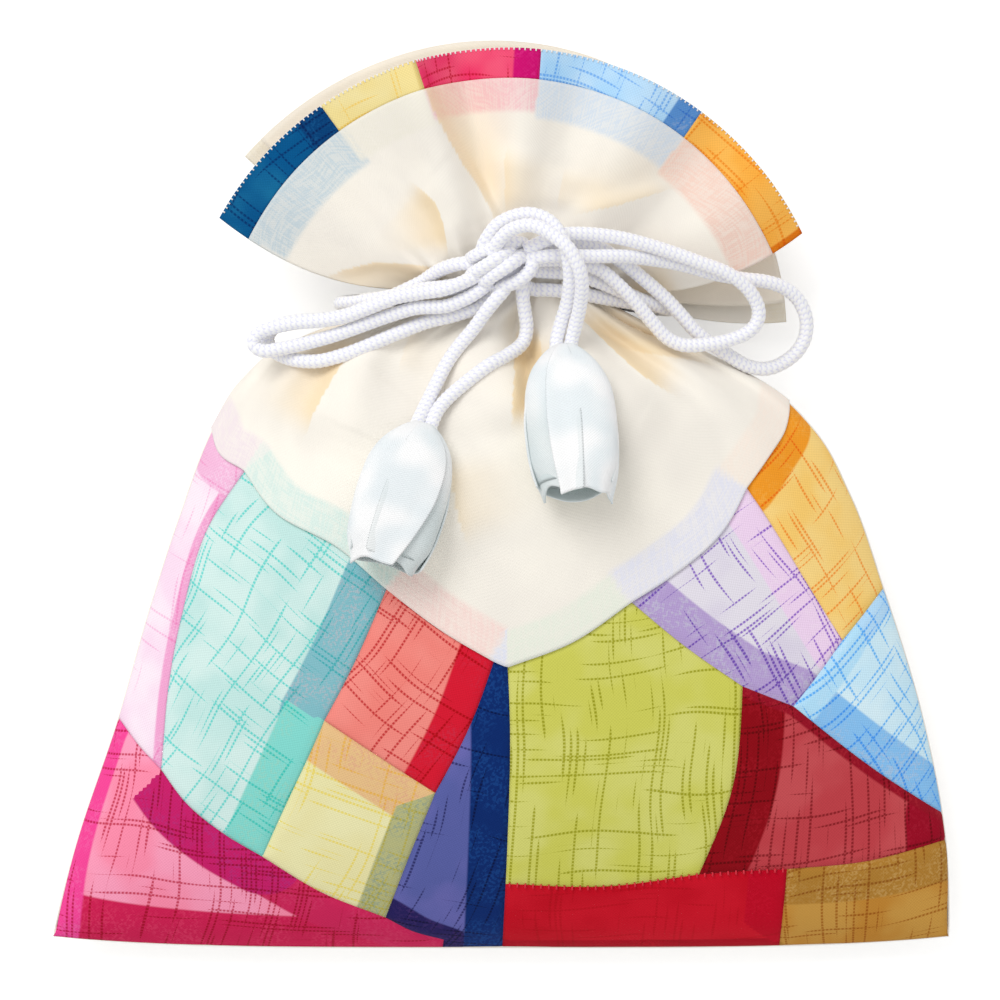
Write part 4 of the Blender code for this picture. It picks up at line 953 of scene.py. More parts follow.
PATCHES = {
    "patch_pink": (["G", "H"], ["H", "A"], ["A", "yoke_left"], ["yoke_left", "G"]),
    "patch_mint": (["H", "I"], ["I", "J", "B"], ["B", "A"], ["A", "H"]),
    "patch_red": (["J", "K"], ["K", "C"], ["C", "B"], ["B", "J"]),
    "patch_yellow": (["I", "L"], ["L", "K"], ["K", "J"], ["J", "I"]),
    "patch_navy": (["M_low", "N"], ["N", "O", "tip"], ["tip", "C"], ["C", "K", "L", "M", "M_low"]),
    "patch_magenta": (["left_corner", "M_low"], ["M_low", "M"], ["M", "L", "I", "H", "G"],
                      ["G", "left_corner"]),
    "patch_lime": (["O", "R"], ["R", "Q", "D"], ["D", "tip"], ["tip", "O"]),
    "patch_lavender": (["Q", "S"], ["S", "U"], ["U", "E"], ["E", "D", "Q"]),
    "patch_orange": (["U", "V"], ["V", "yoke_right"], ["yoke_right", "E"], ["E", "U"]),
    "patch_sky": (["S", "W"], ["W", "V"], ["V", "U"], ["U", "S"]),
    "patch_maroon": (["R", "Y", "X"], ["X", "W"], ["W", "S", "Q"], ["Q", "R"]),
    "patch_crimson": (["N", "Z"], ["Z", "Y"], ["Y", "R", "O"], ["O", "N"]),
    "patch_mustard": (["Z", "right_corner"], ["right_corner", "X"], ["X", "Y"], ["Y", "Z"]),
}
YOKE_EDGE = ["yoke_left", "A", "B", "C", "tip", "D", "E", "yoke_right"]
print(len(PATCHES), "patches share", len(CORNERS), "corners")

# %% [markdown]
# Two patches that share a seam read it from the same corners and bends, so their edges meet. The
# places along it are even in length on the cloth, so the grids stay even too.


# %% Read seams as curves on the body
SEAM_READINGS = 61


def read_stretch(start, end, share):
    """Read a seam between two corners, as (across, up): asin of the width share, over 90 degrees."""
    bends = SEAM_BENDS.get((start, end)) or SEAM_BENDS.get((end, start), [])[::-1]
    stops = np.array([CORNERS[start], *bends, CORNERS[end]], float)
    places = length_along(stops) / length_along(stops)[-1]
    wide = np.clip(smooth(np.stack([places, stops[:, 0]], 1), share), -1, 1)
    up = smooth(np.stack([places, stops[:, 1]], 1), share)
    return np.stack([np.arcsin(wide) / (math.pi / 2), np.maximum(up, 0)], -1)


def seam_line(corners, count):
    """Read count + 1 places along a run of corners, shared out by length and even along the cloth."""
    fine = np.linspace(0, 1, SEAM_READINGS)
    stretches = [read_stretch(start, end, fine) for start, end in zip(corners, corners[1:])]
    runs = [length_along(body_surface(1, s[:, 0], s[:, 1])) for s in stretches]
    total = sum(run[-1] for run in runs)
    cells = [max(1, round(count * run[-1] / total)) for run in runs]
    while sum(cells) != count:
        cells[cells.index(max(cells))] += 1 if sum(cells) < count else -1
    places = []
    for stretch, run, number in zip(stretches, runs, cells):
        at = np.linspace(0, run[-1], number + 1)
        places.append(np.stack([np.interp(at, run, stretch[:, k]) for k in (0, 1)], 1)[:-1])
    places.append(stretches[-1][-1:])
    return np.vstack(places)


def seam_length(corners):
    """Measure a run of corners along the cloth, in mm."""
    places = seam_line(corners, 60)
    return length_along(body_surface(1, places[:, 0], places[:, 1]))[-1]


PATCH_CELL = 0.62


def coons(sides):
    """Coons surface in (across, up): ruled one way + ruled the other way - ruled between corners."""
    bottom, right, top, left = sides
    columns = round(max(seam_length(bottom), seam_length(top)) / PATCH_CELL)
    rows = round(max(seam_length(right), seam_length(left)) / PATCH_CELL)
    low, high = seam_line(bottom, columns), seam_line(top, columns)[::-1]
    far, near = seam_line(right, rows), seam_line(left, rows)[::-1]
    u = np.linspace(0, 1, columns + 1)[None, :, None]
    v = np.linspace(0, 1, rows + 1)[:, None, None]
    ruled = mix(low[None], high[None], v) + mix(near[:, None], far[:, None], u)
    return ruled - mix(mix(low[0], low[-1], u), mix(high[0], high[-1], u), v)


print("the yoke's V edge is", round(seam_length(YOKE_EDGE), 1), "mm long")

# %% [markdown]
# A weave must keep its size where the cloth bulges. So lengths are summed along the body's rows and
# columns once, and each point reads its flat place from that chart.

# %% Measure the cloth along the body, for the weave and the print
def length_up(grid):
    """Sum the steps up each column of a grid, from 0 in its first row."""
    steps = np.linalg.norm(np.diff(grid, axis=0), axis=2)
    return np.concatenate([np.zeros((1, grid.shape[1])), np.cumsum(steps, axis=0)])


CHART_COLUMNS = 200
CHART_ROWS = 160
chart_across = np.linspace(-1, 1, CHART_COLUMNS + 1)
chart_up = np.linspace(0, 1, CHART_ROWS + 1)
chart_points = body_surface(1, chart_across[None, :], chart_up[:, None])
chart_over = np.concatenate([np.zeros((CHART_ROWS + 1, 1)), np.cumsum(
    np.linalg.norm(np.diff(chart_points, axis=1), axis=2), axis=1)], 1)
chart_over -= chart_over[:, CHART_COLUMNS // 2, None]
chart_rise = length_up(chart_points)
print("the front is", round(chart_rise[-1].max(), 1), "mm long up its longest column")


def cloth_place(across, up, turn):
    """Read the cloth's own flat place in mm, turned so that its threads lie at an angle."""
    a = np.clip((across + 1) * CHART_COLUMNS / 2, 0, CHART_COLUMNS - 0.001)
    b = np.clip(up * CHART_ROWS, 0, CHART_ROWS - 0.001)
    i, j = b.astype(int), a.astype(int)
    f, g = b - i, a - j
    over, rise = (table[i, j] * (1 - f) * (1 - g) + table[i + 1, j] * f * (1 - g)
                  + table[i, j + 1] * (1 - f) * g + table[i + 1, j + 1] * f * g
                  for table in (chart_over, chart_rise))
    c, s = math.cos(math.radians(turn)), math.sin(math.radians(turn))
    return np.stack([over * c + rise * s, rise * c - over * s], -1)


NEAREST_BATCH = 40


def nearest_on(points, line, values):
    """Find each point's distance to the nearest of a line's points, and that point's value."""
    flat = points.reshape(-1, 3)
    nearest = np.full(len(flat), 1e9)
    found = np.zeros(len(flat))
    for first in range(0, len(line), NEAREST_BATCH):
        gaps = np.linalg.norm(flat[:, None] - line[None, first:first + NEAREST_BATCH], axis=2)
        best = gaps.argmin(axis=1)
        gap = gaps[np.arange(len(flat)), best]
        found = np.where(gap < nearest, values[first + best], found)
        nearest = np.minimum(nearest, gap)
    return nearest.reshape(points.shape[:-1]), found.reshape(points.shape[:-1])


def distance_to(points, line):
    """Find each point's distance to the nearest of a line's points."""
    return nearest_on(points, line, np.zeros(len(line)))[0]


# %% [markdown]
# ## Printed ramie
# Each patch is sheer cloth with a scratched crosshatch: thin broken lines along both thread
# directions. Where the seam allowance lies folded behind it the cloth is doubled, so a strip beside
# the seam looks deeper, with a mottle where the two weaves cross. The print is made of rows 1 mm wide,
# whose course wobbles slowly. Each row holds one thin line. It reads its own noise along its length, is
# inked only where that noise is high, and is broken into dots where it crosses the threads.

# %% Build the printed cloth's finish
PRINT_THREAD = 0.56
DOT_PITCH = 0.66


def streaks(finish, along, over, seed, edge, pitch=1.0, reach=0.055):
    """Ink one thin line in each row of the pitch: |place - aim| < thickness(noise along the row)."""
    wobble = finish.noise(finish.vector(finish.math("MULTIPLY", along, 0.05),
                                        finish.math("MULTIPLY", over, 0.04), seed))
    rows = finish.math("DIVIDE", finish.math("ADD", over, finish.math("MULTIPLY", wobble, 5.0)), pitch)
    number = finish.math("FLOOR", rows)
    aim = finish.noise(finish.vector(finish.math("MULTIPLY", number, 3.17), seed))
    aside = finish.math("ABSOLUTE", finish.math("SUBTRACT", finish.math("SUBTRACT", rows, number), aim))
    own = finish.noise(finish.vector(finish.math("MULTIPLY", along, reach),
                                     finish.math("MULTIPLY", number, 7.31), seed + 3.7), 1.0)
    thick = finish.spread(own, edge, edge + 0.12, -0.07, 0.2)
    inside = finish.math("SUBTRACT", thick, finish.math("MULTIPLY", aside, pitch))
    line = finish.spread(inside, -0.06, 0.06)
    beat = finish.math("SINE", finish.math("MULTIPLY", along, math.tau / DOT_PITCH))
    dots = finish.spread(beat, -0.6, 0.2, 0.35, 1.0)
    return finish.math("MULTIPLY", line, dots)


def strip_mask(finish, mark, width, blur=0.25):
    """1 within a width of a seam, 0 past it."""
    return finish.spread(finish.mark(mark), width - blur, width + blur, 1.0, 0.0)


def printed_cloth(name, ground, pale, ink, strips, seed, edge=0.63, strength=0.8, mottle=0.5):
    """Colour = ground and pale by clouds, then strips by distance to seams, times ink and weave."""
    finish = Finish(name, roughness=0.85, sheen=0.03)
    finish.shader.inputs["Specular IOR Level"].default_value = 0.1
    u, v = finish.cloth_uv()
    place = finish.vector(u, v, seed)
    cloud = finish.spread(finish.noise(place, 2.0, 0.09), 0.38, 0.62)
    colour = finish.blend(srgb(*ground), srgb(*pale), cloud)
    speckle = finish.spread(finish.noise(place, 1.0, 1.9), 0.46, 0.62)
    patchy = finish.spread(finish.noise(place, 1.0, 0.16), 0.35, 0.6)
    for mark, width, deep, light in strips:
        weave_mix = finish.math("MULTIPLY", finish.math("MULTIPLY", speckle, patchy), mottle)
        doubled = finish.blend(srgb(*deep), srgb(*light), weave_mix)
        colour = finish.blend(colour, doubled, strip_mask(finish, mark, width))
    first = streaks(finish, u, v, seed, edge - 0.09)
    second = streaks(finish, v, u, seed + 11.0, edge - 0.08)
    lines = finish.math("MAXIMUM", first, second)
    lines = finish.math("MULTIPLY", lines, strength)
    colour = finish.blend(colour, finish.blend(colour, srgb(*ink), 1.0, "MULTIPLY"), lines)
    threads = finish.weave(u, v, PRINT_THREAD)
    colour = finish.shaded(colour, finish.spread(threads, -1, 1, 0.93, 1.03))
    finish.feed(finish.shader.inputs["Base Color"], colour)
    finish.bump(threads, 0.3, 0.06)
    return finish.material


print("the print's dots are", DOT_PITCH, "mm apart")

# %% [markdown]
# ## The patches
# Each line gives a patch's thread direction, its ground, its paler clouds, its ink (the colour that
# the ground is multiplied by), and its doubled strips: seam, width, deep colour, mottle colour.

# %% List the patches' looks
PATCH_LOOKS = {
    "patch_pink": (76, (0.985, 0.87, 0.945), (0.995, 0.93, 0.97), (0.97, 0.72, 0.86),
                   [(["A", "H"], 1.6, (0.96, 0.66, 0.83), (0.98, 0.8, 0.9)),
                    (["yoke_left", "A"], 6, (0.965, 0.74, 0.87), (0.98, 0.86, 0.94))], 0.64, 0.6),
    "patch_mint": (60, (0.77, 0.91, 0.89), (0.84, 0.94, 0.92), (0.36, 0.9, 0.88),
                   [(["B", "J"], 8, (0.52, 0.75, 0.79), (0.78, 0.74, 0.77)),
                    (["J", "I"], 7.5, (0.53, 0.87, 0.83), (0.64, 0.84, 0.76))], 0.6, 0.85),
    "patch_red": (58, (0.97, 0.53, 0.49), (0.98, 0.57, 0.53), (0.78, 0.12, 0.25),
                  [(["C", "K"], 6.4, (0.87, 0.10, 0.20), (0.8, 0.2, 0.3))], 0.62, 0.85),
    "patch_yellow": (73, (0.94, 0.91, 0.68), (0.95, 0.93, 0.72), (1.0, 0.93, 0.5),
                     [(["J", "K"], 7.6, (0.93, 0.77, 0.55), (0.9, 0.66, 0.55)),
                      (["K", "L"], 5.4, (0.74, 0.74, 0.52), (0.52, 0.62, 0.6))], 0.61, 0.8),
    "patch_navy": (76, (0.36, 0.39, 0.66), (0.42, 0.42, 0.70), (0.35, 0.3, 0.5),
                   [(["M_low", "M", "L"], 4.5, (0.15, 0.12, 0.36), (0.3, 0.2, 0.45)),
                    (["N", "O", "tip"], 6.7, (0.03, 0.17, 0.43), (0.10, 0.30, 0.58))], 0.62, 0.8),
    "patch_magenta": (90, (1.0, 0.56, 0.68), (1.0, 0.63, 0.75), (0.74, 0.05, 0.30),
                      [(["left_corner", "M_low"], 8.6, (0.83, 0.12, 0.33), (0.9, 0.25, 0.42)),
                       (["M", "L", "I"], 6.5, (0.83, 0.15, 0.36), (0.86, 0.24, 0.42)),
                       (["G", "H"], 0.01, (0.95, 0.4, 0.66), (0.95, 0.4, 0.66)),
                       (["H", "I"], 7.2, (0.80, 0.12, 0.42), (0.72, 0.2, 0.5)),
                       (["G", "left_corner"], 4.2, (0.97, 0.28, 0.60), (0.97, 0.42, 0.68))], 0.6, 0.8),
    "patch_lime": (91, (0.83, 0.83, 0.37), (0.86, 0.86, 0.47), (0.72, 0.72, 0.08), [], 0.6, 0.85),
    "patch_lavender": (121, (0.88, 0.85, 0.92), (0.92, 0.90, 0.94), (0.62, 0.48, 0.84),
                       [(["E", "U"], 6.6, (0.96, 0.85, 0.96), (0.97, 0.89, 0.96)),
                        (["D", "Q", "S"], 6.8, (0.73, 0.64, 0.84), (0.8, 0.8, 0.86))], 0.58, 1.0),
    "patch_orange": (120, (1.0, 0.82, 0.45), (1.0, 0.86, 0.54), (0.97, 0.62, 0.12),
                     [(["E", "yoke_right"], 5.5, (0.97, 0.62, 0.16), (0.98, 0.7, 0.3))], 0.61, 0.8),
    "patch_sky": (30, (0.81, 0.94, 1.0), (0.88, 0.97, 1.0), (0.52, 0.78, 0.99),
                  [(["U", "V"], 3.5, (0.72, 0.88, 1.0), (0.78, 0.90, 0.98)),
                   (["S", "W"], 6.6, (0.55, 0.78, 0.97), (0.74, 0.80, 0.88)),
                   (["S", "U"], 4.4, (0.72, 0.90, 1.0), (0.80, 0.92, 1.0))], 0.58, 1.0),
    "patch_maroon": (90, (0.77, 0.26, 0.29), (0.80, 0.32, 0.34), (0.6, 0.03, 0.2),
                     [(["Q", "R"], 7.6, (0.57, 0.02, 0.08), (0.66, 0.08, 0.14)),
                      (["W", "X"], 8.5, (0.62, 0.02, 0.14), (0.7, 0.12, 0.22)),
                      (["Q", "S", "W"], 1.6, (0.6, 0.05, 0.14), (0.7, 0.15, 0.2))], 0.58, 0.75),
    "patch_crimson": (2, (0.79, 0.03, 0.13), (0.83, 0.07, 0.16), (0.85, 0.5, 0.6),
                      [(["N", "Z"], 2.6, (0.70, 0.01, 0.12), (0.78, 0.05, 0.15)),
                       (["Z", "Y"], 6.6, (0.77, 0.01, 0.14), (0.82, 0.05, 0.18))], 0.62, 0.5),
    "patch_mustard": (92, (0.77, 0.53, 0.20), (0.80, 0.60, 0.28), (0.78, 0.6, 0.3),
                      [(["X", "Y"], 7, (0.70, 0.50, 0.20), (0.82, 0.66, 0.4)),
                       (["N", "Z"], 1, (0.7, 0.5, 0.2), (0.8, 0.6, 0.3))], 0.6, 0.8),
}
print("looks of", len(PATCH_LOOKS), "patches")

# %% [markdown]
# The cloth lies just outside the plain form. It sinks a little at each seam, rises at the folds and is
# crimped beside the tie, and front and back cloth come together at the side and bottom seams.

# %% Set cloth on the form
SEAM_DEPTH = 0.32
SEAM_WIDTH = 0.8
THIN = 0.34
SURFACE_LIFT = 0.5
SEAM_LIFT = 0.17


def seam_lift(across, up):
    """Lift cloth off the form by its thickness, and less at the side and bottom seams."""
    inside = np.minimum(np.minimum(up * 1.2, 1 - np.abs(across)), 0.05)
    return mix(SEAM_LIFT, SURFACE_LIFT, ease(0, 0.04, inside))


def gathers(across):
    """Crimp the cloth beside the tie: three waves across whose crests don't repeat."""
    return np.sin(31 * across + 1.4) + 0.7 * np.sin(47 * across) + 0.5 * np.sin(19 * across + 4)


def front_points(across, up, lift=0.0):
    """Place front cloth: body + normal (lift - seam groove) + folds and ripple upward."""
    points = body_surface(1, across, up)
    points = points + outward(body_surface, 1, across, up) * (seam_lift(across, up) + lift)[..., None]
    folds, warm_shade = fold_field(points)
    settle = np.maximum(np.cos(across * math.pi / 2), 0) ** 0.5
    points[..., 2] += (folds + ripple(points) + 0.5 * gathers(across) * ease(0.72, 0.97, up)) * settle
    return points, warm_shade


print("cloth lies", SURFACE_LIFT, "mm outside the form")

# %% [markdown]
# Each patch fills its four sides with a grid, so its edges are its seams. It keeps its distance to each
# seam that has a doubled strip, and the finish turns that distance into the strip.


# %% Cut the patches
STRIP_READINGS = 160
FAR = 99


def place_patch(name, number):
    """Make one patch with its weave, its print and its distances to the named seams."""
    turn, ground, pale, ink, strips, edge, strength = PATCH_LOOKS[name]
    places = coons(PATCHES[name])
    across, up = places[..., 0], places[..., 1]
    bare = body_surface(1, across, up)
    rim = np.vstack([bare[0], bare[-1], bare[:, 0], bare[:, -1]])
    to_rim = distance_to(bare, rim)
    points, warm_shade = front_points(across, up, -SEAM_DEPTH * np.exp(-(to_rim / SEAM_WIDTH) ** 2))
    marks = {}
    listed = []
    for i, (corners, width, deep, light) in enumerate(strips):
        line = seam_line(corners, STRIP_READINGS)
        marks["strip_%d" % i] = distance_to(bare, body_surface(1, line[:, 0], line[:, 1]))
        if i and strips[i - 1][0][-1] == corners[0]:
            marks["strip_%d" % i] += FAR * (marks["strip_%d" % (i - 1)] < marks["strip_%d" % i])
        listed.append(("strip_%d" % i, width, deep, light))
    finish = printed_cloth(name + "_print", ground, pale, ink, listed, number * 5.3, edge, strength)
    piece = cloth_piece(name + "_cloth", points, 1, THIN, finish, cloth_place(across, up, turn), marks)
    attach(piece, "root")
    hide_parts(name)
    declare_cloth(piece, points)
    return places.shape


for number, name in enumerate(PATCHES):
    shape = place_patch(name, number)
    print(name, "on a grid of", shape[0], "by", shape[1])

# %% [markdown]
# ## The cream yoke
# One cream cloth runs from the V edge, up through the tie, to the frill's coloured band. It is
# sheer too: the patches' seam allowances show through it as faint tints above the V edge, and the
# band's show below the band. Its depth from each edge and its place across pick the tint.

# %% Build the cream finish
LOW_TINTS = [
    (-1, -0.64, 6.2, (0.95, 0.90, 0.91)), (-0.64, -0.238, 6.0, (0.86, 0.93, 0.90)),
    (-0.238, -0.05, 6.2, (0.985, 0.88, 0.85)), (-0.05, -0.02, 6, (0.90, 0.91, 0.96)),
    (-0.02, 0.193, 6, (0.93, 0.945, 0.89)), (0.193, 0.489, 6.5, (0.91, 0.91, 0.955)),
    (0.489, 1, 6, (0.985, 0.935, 0.885))]
TOP_TINTS = [
    (-1, -0.55, 7.4, (0.80, 0.855, 0.88)), (-0.575, -0.285, 6.5, (0.965, 0.945, 0.89)),
    (-0.285, 0.07, 5.6, (0.97, 0.80, 0.81)), (0.07, 0.555, 6.6, (0.86, 0.90, 0.94)),
    (0.555, 1, 7.6, (0.975, 0.85, 0.79))]
CREAM = (0.963, 0.94, 0.9)
PALE_CREAM = (0.998, 0.975, 0.93)
SHADE_CREAM = (0.975, 0.875, 0.70)
CREAM_THREAD = 0.6
TINT_BLUR = 0.008
WIDTH_ON_CLOTH = 85


def cream_cloth(name, tints_low=(), tints_top=()):
    """Cream, tinted near its edges, with painted warm shade in its folds, and a fine plain weave."""
    finish = Finish(name, roughness=0.8, sheen=0.2)
    u, v = finish.cloth_uv()
    place = finish.vector(u, v)
    cloud = finish.spread(finish.noise(place, 2.0, 0.05), 0.35, 0.65)
    colour = finish.blend(srgb(*CREAM), srgb(*PALE_CREAM), cloud)
    across = finish.mark("across")
    warp = finish.noise(finish.vector(finish.math("MULTIPLY", u, 0.25),
                                      finish.math("MULTIPLY", v, 2.6)))
    weft = finish.noise(finish.vector(finish.math("MULTIPLY", u, 2.6),
                                      finish.math("MULTIPLY", v, 0.25)))
    grain = finish.spread(finish.math("ADD", warp, weft), 0.75, 1.25, 0.6, 1.0)
    for mark, tints in (("from_low", tints_low), ("from_top", tints_top)):
        for start, end, width, tint in tints:
            begin = finish.spread(across, start - TINT_BLUR, start + TINT_BLUR)
            stop = finish.spread(across, end - TINT_BLUR, end + TINT_BLUR, 1.0, 0.0)
            mask = finish.math("MULTIPLY", finish.math("MULTIPLY", begin, stop),
                               strip_mask(finish, mark, width, 0.7))
            colour = finish.blend(colour, srgb(*tint), finish.math("MULTIPLY", mask, grain))
    # Painted warm shade: the cream turns peach in the folds' shadowed sides, and over the lining.
    glow = finish.spread(finish.mark("warm_shade"), 0.0, 1.1, 0.0, 0.85)
    colour = finish.blend(colour, srgb(*SHADE_CREAM), glow)
    threads = finish.weave(u, v, CREAM_THREAD)
    colour = finish.shaded(colour, finish.spread(threads, -1, 1, 0.975, 1.01))
    finish.feed(finish.shader.inputs["Base Color"], colour)
    finish.bump(threads, 0.22, 0.06)
    return finish.material


print(len(LOW_TINTS), "tints above the V edge and", len(TOP_TINTS), "below the band")

# %% [markdown]
# The yoke is one grid: its lower rows lie on the body and its upper rows on the frill, so the cloth
# runs through the tie without a seam.

# %% Cut the yoke
YOKE_COLUMNS = 300
YOKE_BODY_ROWS = 95
YOKE_FRILL_ROWS = 62
yoke_across = np.linspace(-1, 1, YOKE_COLUMNS + 1)
v_edge = seam_line(YOKE_EDGE, 400)
v_up = np.interp(yoke_across, v_edge[:, 0], v_edge[:, 1])


def band_start(across):
    """Find where on each rib the band begins: 1 - band width / rib length."""
    edge, neck = (frill_surface(1, across, np.full_like(across, out)) for out in (1, 0))
    return 1 - BAND_WIDTH / np.linalg.norm(edge - neck, axis=-1)


def frill_points(across, out, lift=0.0):
    """Place front frill cloth: frill + normal lift + folds, which fade at its two sides."""
    points = frill_surface(1, across, out)
    points = points + outward(frill_surface, 1, across, out) * (SURFACE_LIFT + lift)
    folds, warm_shade = fold_field(points)
    crimp = 0.5 * gathers(across) * ease(0.4, 0.03, out)
    settle = np.maximum(np.cos(across * math.pi / 2), 0) ** 0.4
    points[..., 2] += (folds + ripple(points) + crimp) * settle
    return points, warm_shade


share = np.linspace(0, 1, YOKE_BODY_ROWS + 1)[:, None]
low = v_up[None] - 0.005
body_up = low + (1 - low) * (1 - (1 - share) ** 1.15)
over_patches = 0.3 * np.exp(-((body_up - low) / 0.05) ** 2)
lower, lower_warm_shade = front_points(np.broadcast_to(yoke_across, body_up.shape), body_up, over_patches)
frill_out = np.linspace(0, 1, YOKE_FRILL_ROWS + 1)[:, None] * band_start(yoke_across)[None]
upper, upper_warm_shade = frill_points(np.broadcast_to(yoke_across, frill_out.shape), frill_out, 0.12)
yoke_grid = np.concatenate([lower, upper])
yoke_warm_shade = np.concatenate([lower_warm_shade, upper_warm_shade])
rib_length = length_up(yoke_grid)
yoke_uv = np.stack([np.broadcast_to(yoke_across * WIDTH_ON_CLOTH, rib_length.shape), rib_length], -1)
low_distance, low_place = nearest_on(yoke_grid, yoke_grid[0], yoke_across)
top_distance, top_place = nearest_on(yoke_grid, yoke_grid[-1], yoke_across)
yoke_marks = {
    "across": np.where(low_distance < top_distance, low_place, top_place),
    "from_low": low_distance,
    "from_top": top_distance,
    "warm_shade": yoke_warm_shade,
}
yoke = cloth_piece("front_yoke_cloth", yoke_grid, 1, THIN,
                   cream_cloth("cream_yoke", LOW_TINTS, TOP_TINTS), yoke_uv, yoke_marks)
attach(yoke, "root")
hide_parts("front_yoke")
declare_cloth(yoke, yoke_grid)
print("yoke: longest rib", round(rib_length[-1].max(), 1), "mm")

# %% [markdown]
# ## The coloured band
# Five short strips of the same printed ramie finish the front flap's edge. They are turned under at
# the edge, so they look dense and dark there, and each has a darker end where two strips join.

# %% Sew on the band
BAND_LOOKS = [
    ("band_blue", (0.0, 0.34, 0.56), (0.10, 0.46, 0.64), (0.3, 0.5, 0.7)),
    ("band_yellow", (0.965, 0.885, 0.60), (0.97, 0.91, 0.67), (1.0, 0.9, 0.6)),
    ("band_magenta", (0.95, 0.22, 0.43), (0.97, 0.36, 0.50), (0.8, 0.15, 0.35)),
    ("band_sky", (0.68, 0.86, 1.0), (0.77, 0.90, 1.0), (0.55, 0.75, 0.95)),
    ("band_orange", (0.99, 0.66, 0.20), (1.0, 0.74, 0.34), (0.95, 0.72, 0.3)),
]
BAND_ENDS = {
    "band_blue": (5.2, (0.0, 0.25, 0.47), (0.1, 0.4, 0.62)),
    "band_yellow": (0.8, (0.9, 0.8, 0.5), (0.9, 0.84, 0.6)),
    "band_magenta": (4.6, (0.83, 0.05, 0.45), (0.9, 0.2, 0.55)),
    "band_sky": (5, (0.36, 0.58, 0.84), (0.6, 0.7, 0.85)),
    "band_orange": (1.2, (0.9, 0.48, 0.08), (0.95, 0.6, 0.2)),
}
BAND_ROWS = 14
BAND_DENSITY = 130
for number, (name, ground, pale, ink) in enumerate(BAND_LOOKS):
    start, end = BAND_JOINTS[number:number + 2]
    across = np.linspace(start, end, round((end - start) * BAND_DENSITY))[None, :]
    inner = band_start(across[0])[None]
    share = np.linspace(0, 1, BAND_ROWS)[:, None]
    out = mix(inner, 1.0, share)
    across = np.broadcast_to(across, out.shape)
    points, warm_shade = frill_points(across, out, 0.0)
    along = length_along(points[BAND_ROWS // 2])
    rising = np.linspace(0, BAND_WIDTH, BAND_ROWS)[:, None]
    uv = np.stack([np.broadcast_to(along, out.shape), np.broadcast_to(rising, out.shape)], -1)
    marks = {"strip_0": distance_to(points, points[:, -1])}
    finish = printed_cloth(name + "_print", ground, pale, ink, [("strip_0", *BAND_ENDS[name])],
                           80 + number * 3.1, 0.6, 0.8)
    piece = cloth_piece(name + "_cloth", points, 1, THIN, finish, uv, marks)
    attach(piece, "root")
    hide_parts(name)
print("band of", len(BAND_LOOKS), "strips")

# %% [markdown]
# ## Stitches
# The band's outer edge is whipped with white thread, and the crimson cloth is overcast onto its
# neighbours along its top. A stitch is a short bar that stands across its seam, with six faces.

# %% Sew the stitches
STITCH = np.array([[-1, -1, -1], [1, -1, -1], [1, 1, -1], [-1, 1, -1],
                   [-1, -1, 1], [1, -1, 1], [1, 1, 1], [-1, 1, 1]], float)
STITCH_FACES = np.array([[0, 3, 2, 1], [4, 5, 6, 7], [0, 1, 5, 4],
                         [1, 2, 6, 5], [2, 3, 7, 6], [3, 0, 4, 7]])
EDGE_STITCH = (0.12, 0.22, 0.16)
EDGE_SPACING = 0.95
SEAM_STITCH = (0.14, 0.38, 0.14)
SEAM_SPACING = 1.35


def stitches(line, spacing, half_size):
    """Place bars along a line: centre + along a + across b + up c for each of a bar's 8 corners."""
    run = length_along(line)
    at = np.arange(spacing / 2, run[-1], spacing)
    centre = np.stack([np.interp(at, run, line[:, axis]) for axis in range(3)], 1)
    ahead = unit(np.stack([np.interp(at, run, np.gradient(line[:, axis])) for axis in range(3)], 1))
    over = unit(np.cross(ahead, (0, 0, 1)))
    rise = np.cross(over, ahead)
    size = STITCH * np.array(half_size)
    points = (centre[:, None] + ahead[:, None] * size[None, :, :1] + over[:, None] * size[None, :, 1:2]
              + rise[:, None] * size[None, :, 2:])
    faces = STITCH_FACES[None] + 8 * np.arange(len(centre))[:, None, None]
    return points.reshape(-1, 3), faces.reshape(-1, 4)


edge_across = np.linspace(-0.985, 0.985, 400)
edge_line = frill_points(edge_across, np.full(400, 0.996), 0.0)[0]
top_seam = seam_line(["O", "R", "Y"], 200)
seam_top = front_points(top_seam[:, 0], top_seam[:, 1], np.zeros(len(top_seam)))[0]
edge_points, edge_bars = stitches(edge_line, EDGE_SPACING, EDGE_STITCH)
seam_points, seam_bars = stitches(seam_top, SEAM_SPACING, SEAM_STITCH)
thread_finish = Finish("white_thread", roughness=0.6, sheen=0.3)
thread_finish.shader.inputs["Base Color"].default_value = (*srgb(0.97, 0.96, 0.95), 1)
red_thread = Finish("crimson_thread", roughness=0.6, sheen=0.3)
red_thread.shader.inputs["Base Color"].default_value = (*srgb(0.86, 0.16, 0.24), 1)
for name, points, faces, finish, slot in (
        ("edge_stitches", edge_points, edge_bars, thread_finish.material, "front_yoke"),
        ("seam_stitches", seam_points, seam_bars, red_thread.material, "patch_crimson")):
    piece = mesh_piece(name, points, faces, finish)
    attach(piece, "root")
    print(name, "has", len(faces) // 6, "stitches")

# %% [markdown]
# ## Back and lining
# The back is one plain cream cloth with a turned hem along its flap. The lining follows both sides a
# few millimetres in, and is seen only through the mouth.

# %% Make the back
BACK_COLUMNS = 220
BACK_BODY_ROWS = 110
BACK_FRILL_ROWS = 50
FLOOR_GAP = 0.02
HEM = (-2, 2, 5, (0.95, 0.915, 0.84))


def back_points(across, up, surface):
    """Place back cloth: the surface, set outward by the cloth's thickness, kept on the floor."""
    points = surface(-1, across, up)
    lift = seam_lift(across, up) if surface is body_surface else np.full(up.shape, SURFACE_LIFT)
    points = points + outward(surface, -1, across, up) * lift[..., None]
    points[..., 2] = np.maximum(points[..., 2], FLOOR_GAP)
    return points


